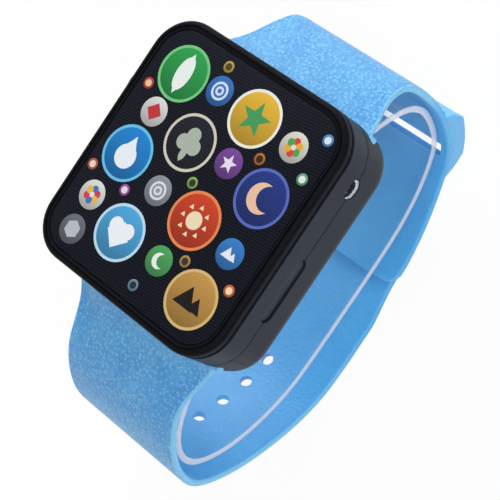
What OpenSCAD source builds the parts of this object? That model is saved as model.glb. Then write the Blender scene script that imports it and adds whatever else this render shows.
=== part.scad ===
// Toy watch: a square case with a press-to-play screen on a soft wrist strap that is closed into a loop,
// with a clear display collar inside the loop. The watch stands on the flat bottom stretch of the strap.
// Frame: +Z up, out of the screen. +Y towards 12 o'clock. +X towards the side button.
// The origin lies on the surface that the strap stands on, under the middle of the case.

/* [Case] */
// Width of the case, across the wrist
case_w = 38; // [34:0.5:44]
// Length of the case, from 6 to 12 o'clock
case_l = 40.8; // [37:0.2:46]
// Corner radius of the case, seen from above
case_r = 6.4; // [5:0.1:8]
// Thickness of the whole case, from its back to the rim round the screen
case_h = 14.5; // [13:0.1:16]
// Height of the front shell's lower edge below the rim
part_drop = 7; // [6.8:0.1:7.4]
// Wall of the two shells
wall = 1.5; // [1.2:0.1:1.8]
// Thickness of the back shell's floor
floor_t = 1.2; // [0.9:0.1:1.2]
// Radius of the edge round the back
back_round = 2.4; // [2:0.1:4]

/* [Screen] */
// Height of the rim that presses down with the screen
rim_h = 1.7; // [1.5:0.1:2]
// Width of the rim round the screen panel
rim_w = 1.5; // [1.2:0.1:2]
// Rounding of the rim's outer edge
rim_round = 0.7; // [0.3:0.1:1]
// Gap under the rim when nobody presses it
press_gap = 0.7; // [0.6:0.1:1]
// How far the screen travels when it is pressed
press_travel = 0.5; // [0.3:0.1:0.5]
// Thickness of the printed screen panel
screen_t = 0.75; // [0.5:0.05:0.8]

/* [Strap] */
// Thickness of the strap
strap_t = 1.2; // [1.2:0.1:1.6]
// Width of the strap along most of its length
strap_w = 24.2; // [22:0.2:28]
// Width of the strap where it leaves the case
strap_root_w = 32.6; // [28:0.2:33]
// Length over which the strap narrows from the case
flare_l = 12; // [8:0.5:18]
// Width of the tongue, the end with the holes
tongue_w = 22; // [20:0.2:24]
// How far the strap's middle reaches out past 6 o'clock, from the middle of the case
low_reach = 39.5; // [36:0.1:44]
// How far the strap's middle reaches out past 12 o'clock, from the middle of the case
up_reach = 29.8; // [26:0.1:33]
// Drop from the strap's root to its flat bottom stretch, between the middles of its thickness
loop_drop = 42.8; // [40:0.1:50]
// Diameter of the strap's holes
hole_d = 2.1; // [1.6:0.1:2.6]
// Spacing of the strap's holes
hole_pitch = 5.4; // [4.5:0.1:6.5]
// Number of free holes
free_holes = 5; // [3:1:6]
// Place of the first free hole, measured along the tongue from the case
first_hole_at = 38.5; // [37:0.1:41]
// Gap between the two strap halves where they lap
lap_gap = 0.25; // [0.15:0.05:0.4]

/* [Keeper] */
// Place of the keeper's middle, measured along the strap's upper half from the case
keeper_at = 34; // [32:0.5:36]
// Length of the keeper along the strap
keeper_l = 13; // [11:0.5:15]
// Height of the keeper over the strap
keeper_h = 3.1; // [2.9:0.1:3.5]
// Thickness of the keeper's bridge
bridge_t = 1; // [0.8:0.1:1.2]
// Width of the slot through the strap under the bridge
slot_w = 21.4; // [18:0.2:21.8]
// Length of that slot along the strap
slot_l = 3; // [2:0.1:3.6]
// How far the slot's middle lies past the keeper's middle
slot_past = 1.5; // [1:0.1:1.6]

/* [Display collar] */
// Width of the clear collar
collar_w = 21; // [16:0.5:23]
// Thickness of the clear collar
collar_t = 1.1; // [0.7:0.1:1.2]
// How far the collar's middle reaches towards 6 o'clock
collar_reach = 37; // [34:0.2:37.4]
// Height of the collar's bottom over the strap's
collar_rise = 8; // [7:0.5:9]

/* [Lamps and buttons] */
// Diameter of the clear lamp
lamp_d = 3; // [2.8:0.1:3.2]
// Place of the clear lamp along the case
lamp_y = 12.2; // [11.8:0.1:12.4]
// Diameter of the red lamp
red_lamp_d = 5; // [4.5:0.1:5]
// Length of the red lamp
red_lamp_l = 8.6; // [8.4:0.1:8.8]
// Place of the red lamp along the case
red_lamp_y = 7.3; // [6.5:0.1:8]
// Length of the side button's slot
button_l = 10.6; // [9:0.1:12]
// Width of the side button's slot
button_w = 2.7; // [2.2:0.1:2.8]
// Place of the slot's middle along the case
button_y = -5; // [-6:0.1:-4.5]
// How far the side button travels
button_travel = 0.5; // [0.3:0.1:0.5]

/* [Inside] */
// Diameter of the speaker
speaker_d = 18; // [16:0.1:18.2]
// Height of the speaker
speaker_h = 3.2; // [3:0.1:3.3]
// Diameter of a button cell
cell_d = 7.9; // [7.4:0.1:7.9]
// Height of a button cell
cell_h = 3.6; // [3.2:0.1:3.6]
// Thickness of the circuit board
board_t = 0.8; // [0.6:0.1:1]
// Width of the circuit board
board_w = 24; // [22:0.5:24.4]
// Length of the circuit board
board_l = 26; // [25:0.5:26.6]

/* [Hidden] */
$fn = 48;

// Overrun of a cut past the face that it opens
over = 1;
// Clearance of a piece that slides in another
slide_fit = 0.2;
// Clearance of a piece that seats in another
seat_fit = 0.1;
// Clearance of a hook or flange that stops a spring's push
stop_fit = 0.1;

// Play over and under the strap in its slot in the shells
slot_play = 0.15;
// Drop from the rim to the middle of the strap's root
root_drop = part_drop + slot_play + strap_t / 2;
// Levels, from the rim down
face_z = loop_drop + strap_t / 2 + root_drop;
part_z = face_z - part_drop;
back_z = face_z - case_h;
floor_z = back_z + floor_t;
shell_top_z = face_z - rim_h - press_gap;
root_z = face_z - root_drop;
deck_drop = 1.3;
deck_t = 0.8;
deck_z = shell_top_z - deck_drop - deck_t;
skirt_h = 1.2;
rim_foot_round = 0.2;
post_h = 1.2;
board_z = deck_z - post_h - board_t;
side_z = part_z;

inner_w = case_w - 2 * wall;
inner_l = case_l - 2 * wall;
inner_r = case_r - wall;
side_x = case_w / 2;
end_y = case_l / 2;

// Points of a smooth curve through a list of points, some steps to a stretch
function mid_curve(a, b, c, d, t) =
    (2 * b + (c - a) * t + (2 * a - 5 * b + 4 * c - d) * t * t + (3 * b - a - 3 * c + d) * t * t * t) / 2;
function smooth(p, steps) = concat([for (i = [0 : len(p) - 2]) for (k = [0 : steps - 1])
    mid_curve(p[max(i - 1, 0)], p[i], p[i + 1], p[min(i + 2, len(p) - 1)], k / steps)], [p[len(p) - 1]]);
// Distance along a path up to each of its points
function runs(p) = [for (i = 0, s = 0; i < len(p); s = s + norm(p[min(i + 1, len(p) - 1)] - p[i]), i = i + 1) s];
function table(p, axis) = let (s = runs(p)) [for (i = [0 : len(p) - 1]) [s[i], p[i][axis]]];
function length_of(p) = let (s = runs(p)) s[len(s) - 1];
// A route holds a path's two lookup tables, so a place on it is found from its distance along
function route_of(p) = [table(p, 0), table(p, 1), length_of(p)];
function place(route, s) = [lookup(s, route[0]), lookup(s, route[1])];
probe = 0.4;
function heading(route, s) = let (d = place(route, min(s + probe, route[2])) - place(route, max(s - probe, 0)))
    d / norm(d);
// The outward side of each half of the loop
function outward(route, s, side) = let (h = heading(route, s)) side * [-h[1], h[0]];

// The strap's middle line. A share of 0 lies at the case's end wall, 1 at the loop's furthest reach and
// at the loop's bottom.
low_route_shares = [[0, 0], [0.04, 0.007], [0.099, 0.045], [0.222, 0.084], [0.383, 0.118], [0.536, 0.158],
    [0.668, 0.208], [0.791, 0.272], [0.919, 0.368], [0.995, 0.484], [0.97, 0.575], [0.864, 0.67],
    [0.699, 0.766], [0.47, 0.859], [0.211, 0.937], [-0.084, 0.987], [-0.394, 1], [-0.66, 1], [-0.926, 1],
    [-1.138, 1]];
up_route_shares = [[0, 0], [0.082, 0.007], [0.18, 0.039], [0.389, 0.079], [0.602, 0.118], [0.788, 0.165],
    [0.939, 0.226], [0.995, 0.319], [0.968, 0.465], [0.84, 0.592], [0.619, 0.699], [0.375, 0.762],
    [0.106, 0.804], [-0.253, 0.85], [-0.612, 0.89], [-1.031, 0.926], [-1.383, 0.948], [-1.681, 0.958],
    [-1.925, 0.962]];
path_steps = 8;
function on_loop(share, reach) = [end_y + share[0] * (reach - end_y), root_z - share[1] * loop_drop];
up_path = smooth([for (share = up_route_shares) on_loop(share, up_reach)], path_steps);
up_route = route_of(up_path);
// The tongue's end follows the upper half, outside it, at these shares of the lap
lap_l = 15;
lap_shares = [0.22, 0.48, 0.74, 1];
lap_points = [for (share = lap_shares) let (s = up_route[2] - share * lap_l)
    place(up_route, s) + outward(up_route, s, 1) * (strap_t + lap_gap)];
low_path = smooth(concat([for (share = low_route_shares) let (p = on_loop(share, low_reach)) [-p[0], p[1]]],
    lap_points), path_steps);
low_route = route_of(low_path);

// Half the strap's width at a distance along it
function ease(u) = let (v = max(0, min(1, u))) v * v * (3 - 2 * v);
function flared(s) = let (left = 1 - min(1, s / flare_l)) (strap_w + (strap_root_w - strap_w) * left * left) / 2;
// Near the case the strap's two edges hang lower than its middle, by no more than its thickness
edge_sag = strap_t;
sag_rise_l = 2;
sag_l = 13;
flat_share = 0.55;
function sag(s) = edge_sag * ease(s / sag_rise_l) * (1 - ease(s / sag_l));
// A corner of radius r rounds an end of half width w at distance d from the end
function rounded_end(w, r, d) = d >= r ? w : w - r + sqrt(max(0, r * r - (r - d) * (r - d)));
// The tongue narrows over this length before the lap
tongue_taper_l = 9;
tongue_tip_share = 0.906;
tongue_tip_r = tongue_tip_share * tongue_w / 2;
up_end_share = 0.25;
up_end_r = up_end_share * strap_w / 2;
function low_half(s) = let (start = low_route[2] - lap_l - tongue_taper_l)
    rounded_end(flared(s) + (tongue_w - strap_w) / 2 * ease((s - start) / tongue_taper_l), tongue_tip_r,
        low_route[2] - s);
function up_half(s) = rounded_end(flared(s), up_end_r, up_route[2] - s);

// Distances along a half at which its rings stand, closer together towards the rounded end
ring_gap = 2;
end_steps = 6;
function stations(total, r) = concat([for (i = [0 : ceil((total - r) / ring_gap) - 1])
    i * (total - r) / ceil((total - r) / ring_gap)], [for (i = [0 : end_steps]) total - r + r * sin(90 * i / end_steps)]);

// A solid skin over rings of points that follow each other
module skin(rings) {
    n = len(rings[0]);
    m = len(rings);
    sides = [for (i = [0 : m - 2]) for (k = [0 : n - 1]) for (half = [0, 1]) let (a = i * n + k,
        b = i * n + (k + 1) % n) half == 0 ? [a, b, b + n] : [a, b + n, a + n]];
    first = [for (k = [1 : n - 2]) [0, k + 1, k]];
    last = [for (k = [1 : n - 2]) [(m - 1) * n, (m - 1) * n + k, (m - 1) * n + k + 1]];
    polyhedron(points = [for (ring = rings) for (p = ring) p], faces = concat(sides, first, last));
}

// A ring across a route: corner points are [across, outward] pairs, turned round on the other side. None lies
// under the surface below, and near the case none lies in its end wall.
end_gap = 0.15;
function off_case(y, s, side) = s < sag_l ? side * max(side * y, end_y + (s > 0 ? end_gap : seat_fit / 2)) : y;
function band(route, s, side, corners) = let (c = place(route, s), o = outward(route, s, side))
    [for (i = [0 : len(corners) - 1]) let (q = corners[side > 0 ? i : len(corners) - 1 - i])
    [q[0], c[0] + o[0] * q[1], max(0, c[1] + o[1] * q[1])]];
function ring(route, s, side, corners) = [for (p = band(route, s, side, corners)) [p[0], off_case(p[1], s, side), p[2]]];
// A strap section with broken edges
strap_edge = 0.3;
function strap_section(w, d) = let (h = strap_t / 2, e = strap_edge, f = flat_share * w)
    [[-w, -h + e - d], [-w + e, -h - d], [-f, -h], [f, -h], [w - e, -h - d], [w, -h + e - d], [w, h - e - d],
    [w - e, h - d], [f, h], [-f, h], [-w + e, h - d], [-w, h - e - d]];
function block_section(x0, x1, n0, n1) = [[x0, n0], [x1, n0], [x1, n1], [x0, n1]];

// The strap's plate between the shells. It is held by the case's screw posts.
tab_in = 6.9;
tab_w = 25.6;
post_x = 9.5;
post_inset = 4.4;
post_y = end_y - post_inset;
post_r = 1.75;
module strap_tab() {
    translate([0, 0, root_z - strap_t / 2]) linear_extrude(strap_t) difference() {
        polygon([[-strap_root_w / 2, end_y + seat_fit], [-strap_root_w / 2, end_y - 2 * wall + seat_fit],
            [-tab_w / 2, end_y - 2 * wall - seat_fit], [-tab_w / 2, end_y - tab_in],
            [tab_w / 2, end_y - tab_in], [tab_w / 2, end_y - 2 * wall - seat_fit],
            [strap_root_w / 2, end_y - 2 * wall + seat_fit], [strap_root_w / 2, end_y + seat_fit]]);
        for (x = [-post_x, post_x]) translate([x, post_y]) circle(post_r + slide_fit);
    }
}

// Pegs of the upper half, in the tongue's last holes
first_peg_at = 5;
peg_places = [first_peg_at, first_peg_at + hole_pitch];
peg_r = hole_d / 2 - seat_fit;
peg_head_h = 0.5;
module along(route, s, side) {
    c = place(route, s);
    o = outward(route, s, side);
    translate([0, c[0], c[1]]) rotate([-atan2(o[0], o[1]), 0, 0]) children();
}

module strap_upper() {
    color("deepskyblue") {
        difference() {
            union() {
                skin([for (s = stations(up_route[2], up_end_r)) ring(up_route, s, 1, strap_section(up_half(s), sag(s)))]);
                keeper();
            }
            along(up_route, keeper_at + slot_past, 1) cube([slot_w, slot_l, 3 * strap_t], center = true);
        }
        strap_tab();
        for (d = peg_places) along(up_route, up_route[2] - d, 1) translate([0, 0, strap_t / 2 - seat_fit])
            cylinder(r = peg_r, h = lap_gap + strap_t + peg_head_h + seat_fit);
    }
}

// The keeper is a raised bridge on two side walls, with ramps before and behind
keeper_side_t = 1.1;
keeper_ramp_share = 0.25;
keeper_sink = 0.3;
keeper_steps = 10;
function keeper_rise(u) = keeper_h * min(1, ease(u / keeper_ramp_share), ease((1 - u) / keeper_ramp_share));
module keeper() {
    start = keeper_at - keeper_l / 2;
    low = strap_t / 2 - keeper_sink;
    w = strap_w / 2;
    steps = [for (i = [0 : keeper_steps]) i / keeper_steps];
    for (x = [-w, w - keeper_side_t]) skin([for (u = steps) ring(up_route, start + u * keeper_l, 1,
        block_section(x, x + keeper_side_t, low, strap_t / 2 + keeper_rise(u)))]);
    skin([for (v = steps) let (u = keeper_ramp_share + (1 - 2 * keeper_ramp_share) * v) ring(up_route, start + u * keeper_l, 1,
        block_section(-w, w, strap_t / 2 + keeper_h - bridge_t, strap_t / 2 + keeper_h))]);
}

// The tongue's hole for a peg lies where the peg's line meets the tongue
search_steps = 400;
function low_hole_at(d) = let (target = place(up_route, up_route[2] - d)
    + outward(up_route, up_route[2] - d, 1) * (strap_t + lap_gap),
    near = [for (i = [0 : search_steps]) let (s = low_route[2] - i * 2 * lap_l / search_steps)
    [norm(place(low_route, s) - target), s]],
    best = min([for (n = near) n[0]])) [for (n = near) if (n[0] == best) n[1]][0];
lap_hole_places = [for (d = peg_places) low_hole_at(d)];

module strap_lower() {
    color("deepskyblue") difference() {
        union() {
            skin([for (s = stations(low_route[2], tongue_tip_r)) ring(low_route, s, -1, strap_section(low_half(s), sag(s)))]);
            mirror([0, 1, 0]) strap_tab();
        }
        for (i = [0 : free_holes - 1]) along(low_route, first_hole_at + i * hole_pitch, -1)
            cylinder(d = hole_d, h = 3 * strap_t, center = true);
        for (s = lap_hole_places) along(low_route, s, -1) cylinder(d = hole_d, h = 3 * strap_t, center = true);
    }
}

// The display collar's middle line, from under the case at 6 o'clock round to under it at 12 o'clock
collar_gap = 0.35;
collar_steps = 60;
collar_top_z = back_z - collar_gap - collar_t / 2;
collar_bottom_z = collar_rise + collar_t / 2;
collar_up = up_reach - strap_t / 2 - collar_gap - collar_t / 2;
collar_shares = [[-0.497, 0], [-0.583, 0.003], [-0.722, 0.035], [-0.837, 0.112], [-0.937, 0.234],
    [-0.988, 0.385], [-0.978, 0.549], [-0.889, 0.727], [-0.75, 0.867], [-0.569, 0.965], [-0.389, 0.993],
    [-0.111, 0.998], [0.143, 0.997], [0.358, 0.986], [0.513, 0.958], [0.65, 0.913], [0.775, 0.85],
    [0.868, 0.78], [0.928, 0.685], [0.967, 0.566], [0.986, 0.455], [0.978, 0.365], [0.942, 0.275],
    [0.864, 0.185], [0.76, 0.1], [0.65, 0.032], [0.545, 0]];
collar_path_steps = 4;
collar_path = smooth([for (share = collar_shares) [share[0] * (share[0] < 0 ? collar_reach : collar_up),
    collar_top_z + share[1] * (collar_bottom_z - collar_top_z)]], collar_path_steps);
collar_route = route_of(collar_path);
module display_collar() {
    color("white", 0.35) skin([for (i = [0 : collar_steps]) band(collar_route, i * collar_route[2] / collar_steps, -1,
        block_section(-collar_w / 2, collar_w / 2, -collar_t / 2, collar_t / 2))]);
}

// A plate with rounded corners and, top and bottom, rounded edges
edge_steps = 4;
soft_sides = 40;
module soft_box(w, l, r, h, top, bottom) {
    function arc(e, a0, z, turn) = e == 0 ? [[r, z]] : [for (i = [0 : edge_steps]) let (a = a0 + 90 * i
        / edge_steps) [r - e + e * cos(a), z - turn * e + e * sin(a)]];
    profile = concat([[0, 0]], arc(bottom, -90, 0, -1), arc(top, 0, h, 1), [[0, h]]);
    hull() for (x = [-1, 1]) for (y = [-1, 1]) translate([x * (w / 2 - r), y * (l / 2 - r), 0])
        rotate_extrude($fn = soft_sides) polygon(profile);
}
module round_rect(w, l, r) {
    union() {
        square([w - 2 * r, l], center = true);
        square([w, l - 2 * r], center = true);
        for (x = [-1, 1]) for (y = [-1, 1]) translate([x * (w / 2 - r), y * (l / 2 - r)]) circle(r);
    }
}
module round_plate(w, l, r, h) {
    linear_extrude(h) round_rect(w, l, r);
}
module stadium(l, w, h) {
    linear_extrude(h) union() {
        square([l - w, w], center = true);
        for (x = [-1, 1]) translate([x * (l - w) / 2, 0]) circle(w / 2);
    }
}

// Cuts that both shells share on their parting line
lamp_hole_d = lamp_d + 2 * seat_fit;
red_hole_d = red_lamp_d + 2 * seat_fit;
module side_cuts() {
    translate([side_x - 2 * wall, lamp_y, side_z]) rotate([0, 90, 0]) cylinder(d = lamp_hole_d, h = 2 * wall + over);
    translate([-side_x - over, red_lamp_y, side_z]) rotate([0, 90, 0]) cylinder(d = red_hole_d, h = 2 * wall + over);
    translate([wall - side_x, red_lamp_y, side_z]) rotate([0, 90, 0]) cylinder(d = red_hole_d + 2 * lamp_flange,
        h = red_lamp_l - red_lamp_out - wall + seat_fit);
    translate([side_x - 2 * wall, button_y, side_z]) rotate([0, 90, 0]) rotate([0, 0, 90])
        stadium(button_l, button_w, 2 * wall + over);
}

hook_x = 5.4;
hook_w = 4;
hook_t = 0.8;
hook_lip = 0.6;
hook_inset = 1.8;
hook_y = inner_l / 2 - hook_inset;
hook_h = 0.8;
dome_hole_r = 3.4;
board_post_shares = [[0.392, 0.408], [0.392, -0.408], [-0.1, 0.424]];
board_posts = [for (share = board_post_shares) [share[0] * board_w, share[1] * board_l]];
board_post_r = 1.4;
pilot_r = 0.6;
module front_shell() {
    color("darkslategray") difference() {
        union() {
            difference() {
                translate([0, 0, part_z]) round_plate(case_w, case_l, case_r, shell_top_z - part_z);
                translate([0, 0, part_z - over]) round_plate(inner_w, inner_l, inner_r, shell_top_z - part_z + 2 * over);
            }
            translate([0, 0, deck_z]) round_plate(inner_w + wall, inner_l + wall, inner_r + wall / 2, deck_t);
            for (x = [-post_x, post_x]) for (y = [-post_y, post_y]) translate([x, y, part_z])
                cylinder(r = post_r, h = deck_z - part_z + deck_t / 2);
            for (p = board_posts) translate([p[0], p[1], deck_z - post_h]) cylinder(r = board_post_r,
                h = post_h + deck_t / 2);
        }
        for (x = [-post_x, post_x]) for (y = [-post_y, post_y]) translate([x, y, part_z - over])
            cylinder(r = screw_r, h = screw_bite + over);
        for (p = board_posts) translate([p[0], p[1], deck_z - post_h - over]) cylinder(r = pilot_r,
            h = post_h + over);
        translate([0, 0, deck_z - over]) cylinder(r = dome_hole_r, h = deck_t + 2 * over);
        for (x = [-hook_x, hook_x]) for (y = [-1, 1]) translate([x, y * (hook_y - (hook_t + hook_lip) / 2),
            deck_z + deck_t / 2])
            cube([hook_w + 2 * slide_fit, hook_t + hook_lip + 2 * slide_fit, deck_t + 2 * over], center = true);
        side_cuts();
    }
}

// Screws that hold the two shells together
screw_bite = 2;
screw_r = 0.8;
screw_head_r = 1.2;
screw_head_h = 1;
screw_sink = 1.6;
screw_shaft_fit = 0.1;
grille_r = 0.6;
grille_pitch = 2.4;
grille_rings = 2;
speaker_x = 5.6;
speaker_y = 0.5;
speaker_ring_t = 0.7;
speaker_ring_h = 1.4;

bay_x = -9.3;
bay_wall = 0.7;
bay_fit = 0.25;
// Height of the cells over the door, with their plates between
cell_lift = 0.35;
cell_gap = 0.2;
bay_w = cell_d + 2 * bay_fit;
contact_room = 0.45;
bay_l = 3 * cell_d + 2 * cell_gap + 2 * contact_room;
contact_lift = 0.3;
bay_top_z = floor_z + cell_lift + cell_h + contact_lift;
bay_roof_t = 0.5;
door_lap = 1;
door_w = bay_w + 2 * door_lap;
door_l = bay_l + 2 * door_lap;
door_r = 1.2;
door_t_share = 0.7;
door_t = door_t_share * floor_t;
door_screw_x = -5.9;
door_screw_drop = 2.6;
door_screw_y = -bay_l / 2 - door_screw_drop;
tongue_r = 1.7;
screw_post_r = 1.3;
screw_post_h = 2.2;
module back_shell() {
    color("darkslategray") difference() {
        union() {
            difference() {
                translate([0, 0, back_z]) soft_box(case_w, case_l, case_r, part_z - back_z, 0, back_round);
                translate([0, 0, floor_z]) soft_box(inner_w, inner_l, inner_r, part_z - floor_z + over, 0,
                    back_round - wall);
                for (y = [0, 1]) mirror([0, y, 0]) translate([-strap_root_w / 2 - slide_fit, end_y - 2 * wall
                    - slide_fit, root_z - strap_t / 2 - slot_play]) cube([strap_root_w + 2 * slide_fit, 2 * wall
                    + slide_fit + over, case_h]);
            }
            for (x = [-post_x, post_x]) for (y = [-post_y, post_y]) translate([x, y, back_z + floor_t / 2])
                cylinder(r = post_r, h = part_z - slide_fit / 2 - back_z - floor_t / 2);
            translate([bay_x, 0, back_z + floor_t / 2]) linear_extrude(bay_top_z - back_z - floor_t / 2 + bay_roof_t)
                square([bay_w + 2 * bay_wall, bay_l + 2 * bay_wall], center = true);
            translate([speaker_x, speaker_y, floor_z - floor_t / 2]) cylinder(r = speaker_d / 2 + seat_fit
                + speaker_ring_t, h = speaker_ring_h + floor_t / 2);
            translate([door_screw_x, door_screw_y, floor_z - floor_t / 4]) cylinder(r = screw_post_r,
                h = screw_post_h + floor_t / 4);
        }
        translate([speaker_x, speaker_y, floor_z]) cylinder(r = speaker_d / 2 + seat_fit, h = case_h);
        translate([bay_x, 0, back_z - over]) linear_extrude(bay_top_z - back_z + over)
            square([bay_w, bay_l], center = true);
        translate([0, 0, back_z - over]) linear_extrude(door_t + over) door_outline(slide_fit);
        translate([door_screw_x, door_screw_y, back_z - over]) cylinder(r = door_screw_r, h = over + door_t
            + door_screw_l);
        for (y = [positive_riser_y, negative_riser_y]) translate([bay_x, y + plate_t / 2, bay_top_z - over])
            linear_extrude(bay_roof_t + 2 * over) square([riser_w + 2 * seat_fit, plate_t + 2 * seat_fit],
            center = true);
        for (x = [-post_x, post_x]) for (y = [-post_y, post_y]) translate([x, y, back_z - over]) {
            cylinder(r = screw_head_r + seat_fit, h = screw_sink + over);
            cylinder(r = screw_r + screw_shaft_fit, h = case_h);
        }
        for (i = [-grille_rings : grille_rings]) for (j = [-grille_rings : grille_rings]) if (abs(i) + abs(j)
            < 2 * grille_rings) translate([speaker_x + i * grille_pitch, speaker_y + j * grille_pitch, back_z - over]) cylinder(r = grille_r, h = floor_t + 2 * over);
        side_cuts();
    }
}

module touch_frame() {
    base_t = rim_h - screen_t - seat_fit;
    color("black") {
        difference() {
            translate([0, 0, face_z - rim_h]) soft_box(case_w, case_l, case_r, rim_h, rim_round, rim_foot_round);
            translate([0, 0, face_z - rim_h + base_t]) round_plate(case_w - 2 * rim_w, case_l - 2 * rim_w,
                case_r - rim_w, rim_h);
        }
        translate([0, 0, face_z - rim_h - skirt_h]) difference() {
            round_plate(inner_w - 2 * slide_fit, inner_l - 2 * slide_fit, inner_r - slide_fit, skirt_h);
            translate([0, 0, -over]) round_plate(inner_w - 2 * slide_fit - 2 * hook_t, inner_l - 2 * slide_fit
                - 2 * hook_t, inner_r - slide_fit - hook_t, skirt_h + over);
        }
        translate([0, 0, dome_top_z + stop_fit / 2]) cylinder(r = press_post_r, h = face_z - rim_h - dome_top_z
            - stop_fit / 2);
        for (x = [-hook_x, hook_x]) for (y = [0, 1]) mirror([0, y, 0]) {
            translate([x - hook_w / 2, hook_y - hook_t, deck_z - stop_fit - hook_h]) cube([hook_w, hook_t,
                face_z - rim_h - deck_z + stop_fit + hook_h]);
            translate([x - hook_w / 2, hook_y - hook_t, deck_z - stop_fit - hook_h]) cube([hook_w, hook_t
                + hook_lip, hook_h]);
        }
    }
}

module screen_panel() {
    w = case_w - 2 * rim_w - 2 * seat_fit;
    l = case_l - 2 * rim_w - 2 * seat_fit;
    color("midnightblue") translate([0, 0, face_z - screen_t - seat_fit]) round_plate(w, l, case_r - rim_w
        - seat_fit, screen_t);
}

dome_base_r = 2.9;
dome_top_r = 1.7;
dome_foot_h = 0.5;
press_post_r = 2;
dome_h = 1.95;
dome_top_z = board_z + board_t + dome_h;
module screen_dome() {
    color("dimgray") translate([0, 0, board_z + board_t]) union() {
        cylinder(r = dome_base_r, h = dome_foot_h);
        cylinder(r1 = dome_base_r - dome_foot_h, r2 = dome_top_r, h = dome_h);
    }
}

// The side button has a cap in the slot, a flange behind the wall and a stem to its switch
button_recess = 0.35;
button_flange_t = 1.1;
button_flange_lap = 0.4;
plunger_out = 0.9;
switch_w = 3.6;
switch_l = 6;
switch_h = 1.7;
switch_overhang = 0.8;
switch_x = board_w / 2 + switch_overhang;
stem_r = 0.9;
module side_button() {
    cap_x = side_x - wall - stop_fit;
    color("black") {
        translate([cap_x - over / 2, button_y, side_z]) rotate([0, 90, 0]) rotate([0, 0, 90])
            stadium(button_l - 2 * slide_fit, button_w - 2 * slide_fit, side_x - button_recess - cap_x + over / 2);
        translate([cap_x - button_flange_t, button_y, side_z]) rotate([0, 90, 0]) rotate([0, 0, 90])
            stadium(button_l + 2 * button_flange_lap, button_w + 2 * button_flange_lap, button_flange_t);
        translate([switch_x + plunger_out + seat_fit / 2, button_y, switch_z]) rotate([0, 90, 0])
            cylinder(r = stem_r, h = cap_x - switch_x - plunger_out - seat_fit / 2 - button_flange_t / 2);
    }
}
switch_z = board_z - switch_h / 2;
plunger_r = 0.6;
plunger_l = 1.9;
module side_switch() {
    color("silver") difference() {
        translate([switch_x - switch_w, button_y - switch_l / 2, board_z - switch_h]) cube([switch_w, switch_l,
            switch_h]);
        translate([switch_x - plunger_l, button_y, switch_z]) rotate([0, 90, 0]) cylinder(r = plunger_r + seat_fit,
            h = plunger_l + over);
    }
}
module side_switch_plunger() {
    color("black") translate([switch_x + plunger_out - plunger_l, button_y, switch_z]) rotate([0, 90, 0])
        cylinder(r = plunger_r, h = plunger_l);
}

lead_r = 0.25;
lead_spread = 0.64;
lamp_l = 5.2;
lamp_flange = 0.25;
lamp_flange_t = 0.8;
lamp_recess = 0.3;
lead_lap = 1.4;
// How far the red lamp stands out of the case
red_lamp_out = 4.5;
// A lamp runs along +X from its dome's tip: a round body with a flange behind, and two leads to the board
module lamp(d, l, lead_l) {
    translate([d / 2, 0, 0]) sphere(d = d);
    translate([d / 2, 0, 0]) rotate([0, 90, 0]) cylinder(d = d, h = l - d / 2);
    translate([l - lamp_flange_t, 0, 0]) rotate([0, 90, 0]) cylinder(d = d + 2 * lamp_flange, h = lamp_flange_t);
    for (y = [-lead_spread, lead_spread]) translate([l - lamp_flange_t, y, board_z - lead_r - side_z])
        rotate([0, 90, 0]) cylinder(r = lead_r, h = lead_l + lamp_flange_t);
}
module lamp_clear() {
    tip = side_x - lamp_recess;
    color("whitesmoke", 0.6) translate([tip, lamp_y, side_z]) mirror([1, 0, 0]) lamp(lamp_d, lamp_l,
        tip - lamp_l - board_w / 2 + lead_lap);
}
module lamp_red() {
    tip = side_x + red_lamp_out;
    color("red", 0.8) translate([-tip, red_lamp_y, side_z]) lamp(red_lamp_d, red_lamp_l,
        tip - red_lamp_l - board_w / 2 + lead_lap);
}

module circuit_board() {
    color("darkgreen") translate([0, 0, board_z]) linear_extrude(board_t) difference() {
        square([board_w, board_l], center = true);
        for (p = board_posts) translate(p) circle(pilot_r + seat_fit);
    }
}
// Screws through the board into the deck's posts
board_screw_head_r = 1.1;
board_screw_head_h = 0.6;
module board_screws() {
    color("silver") for (p = board_posts) translate([p[0], p[1], board_z]) {
        translate([0, 0, -board_screw_head_h]) cylinder(r = board_screw_head_r, h = board_screw_head_h);
        cylinder(r = pilot_r, h = board_t + post_h);
    }
}
// Parts on the board's underside
blob_x = 1.5;
blob_y = -7.5;
blob_r = 3.2;
blob_h = 1.1;
module chip_blob() {
    ball_r = (blob_r * blob_r + blob_h * blob_h) / (2 * blob_h);
    color("black") intersection() {
        translate([blob_x, blob_y, board_z + ball_r - blob_h]) sphere(ball_r);
        translate([blob_x, blob_y, board_z - blob_h]) cylinder(r = blob_r, h = blob_h);
    }
}
resistor_l = 1.6;
resistor_w = 0.8;
resistor_h = 0.5;
resistor_x = 0.2;
resistor_y = 8.8;
resistor_pitch = 2.2;
resistor_count = 3;
module board_resistors() {
    color("dimgray") for (i = [0 : resistor_count - 1]) translate([resistor_x + i * resistor_pitch,
        resistor_y, board_z - resistor_h]) cube([resistor_l, resistor_w, resistor_h]);
}
capacitor_l = 2;
capacitor_w = 1.2;
capacitor_h = 0.9;
capacitor_shares = [[-0.13, 0.17], [-0.13, -0.05]];
module board_capacitors() {
    color("tan") for (share = capacitor_shares) translate([share[0] * board_w, share[1] * board_l, board_z
        - capacitor_h]) cube([capacitor_l, capacitor_w, capacitor_h]);
}

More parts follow.
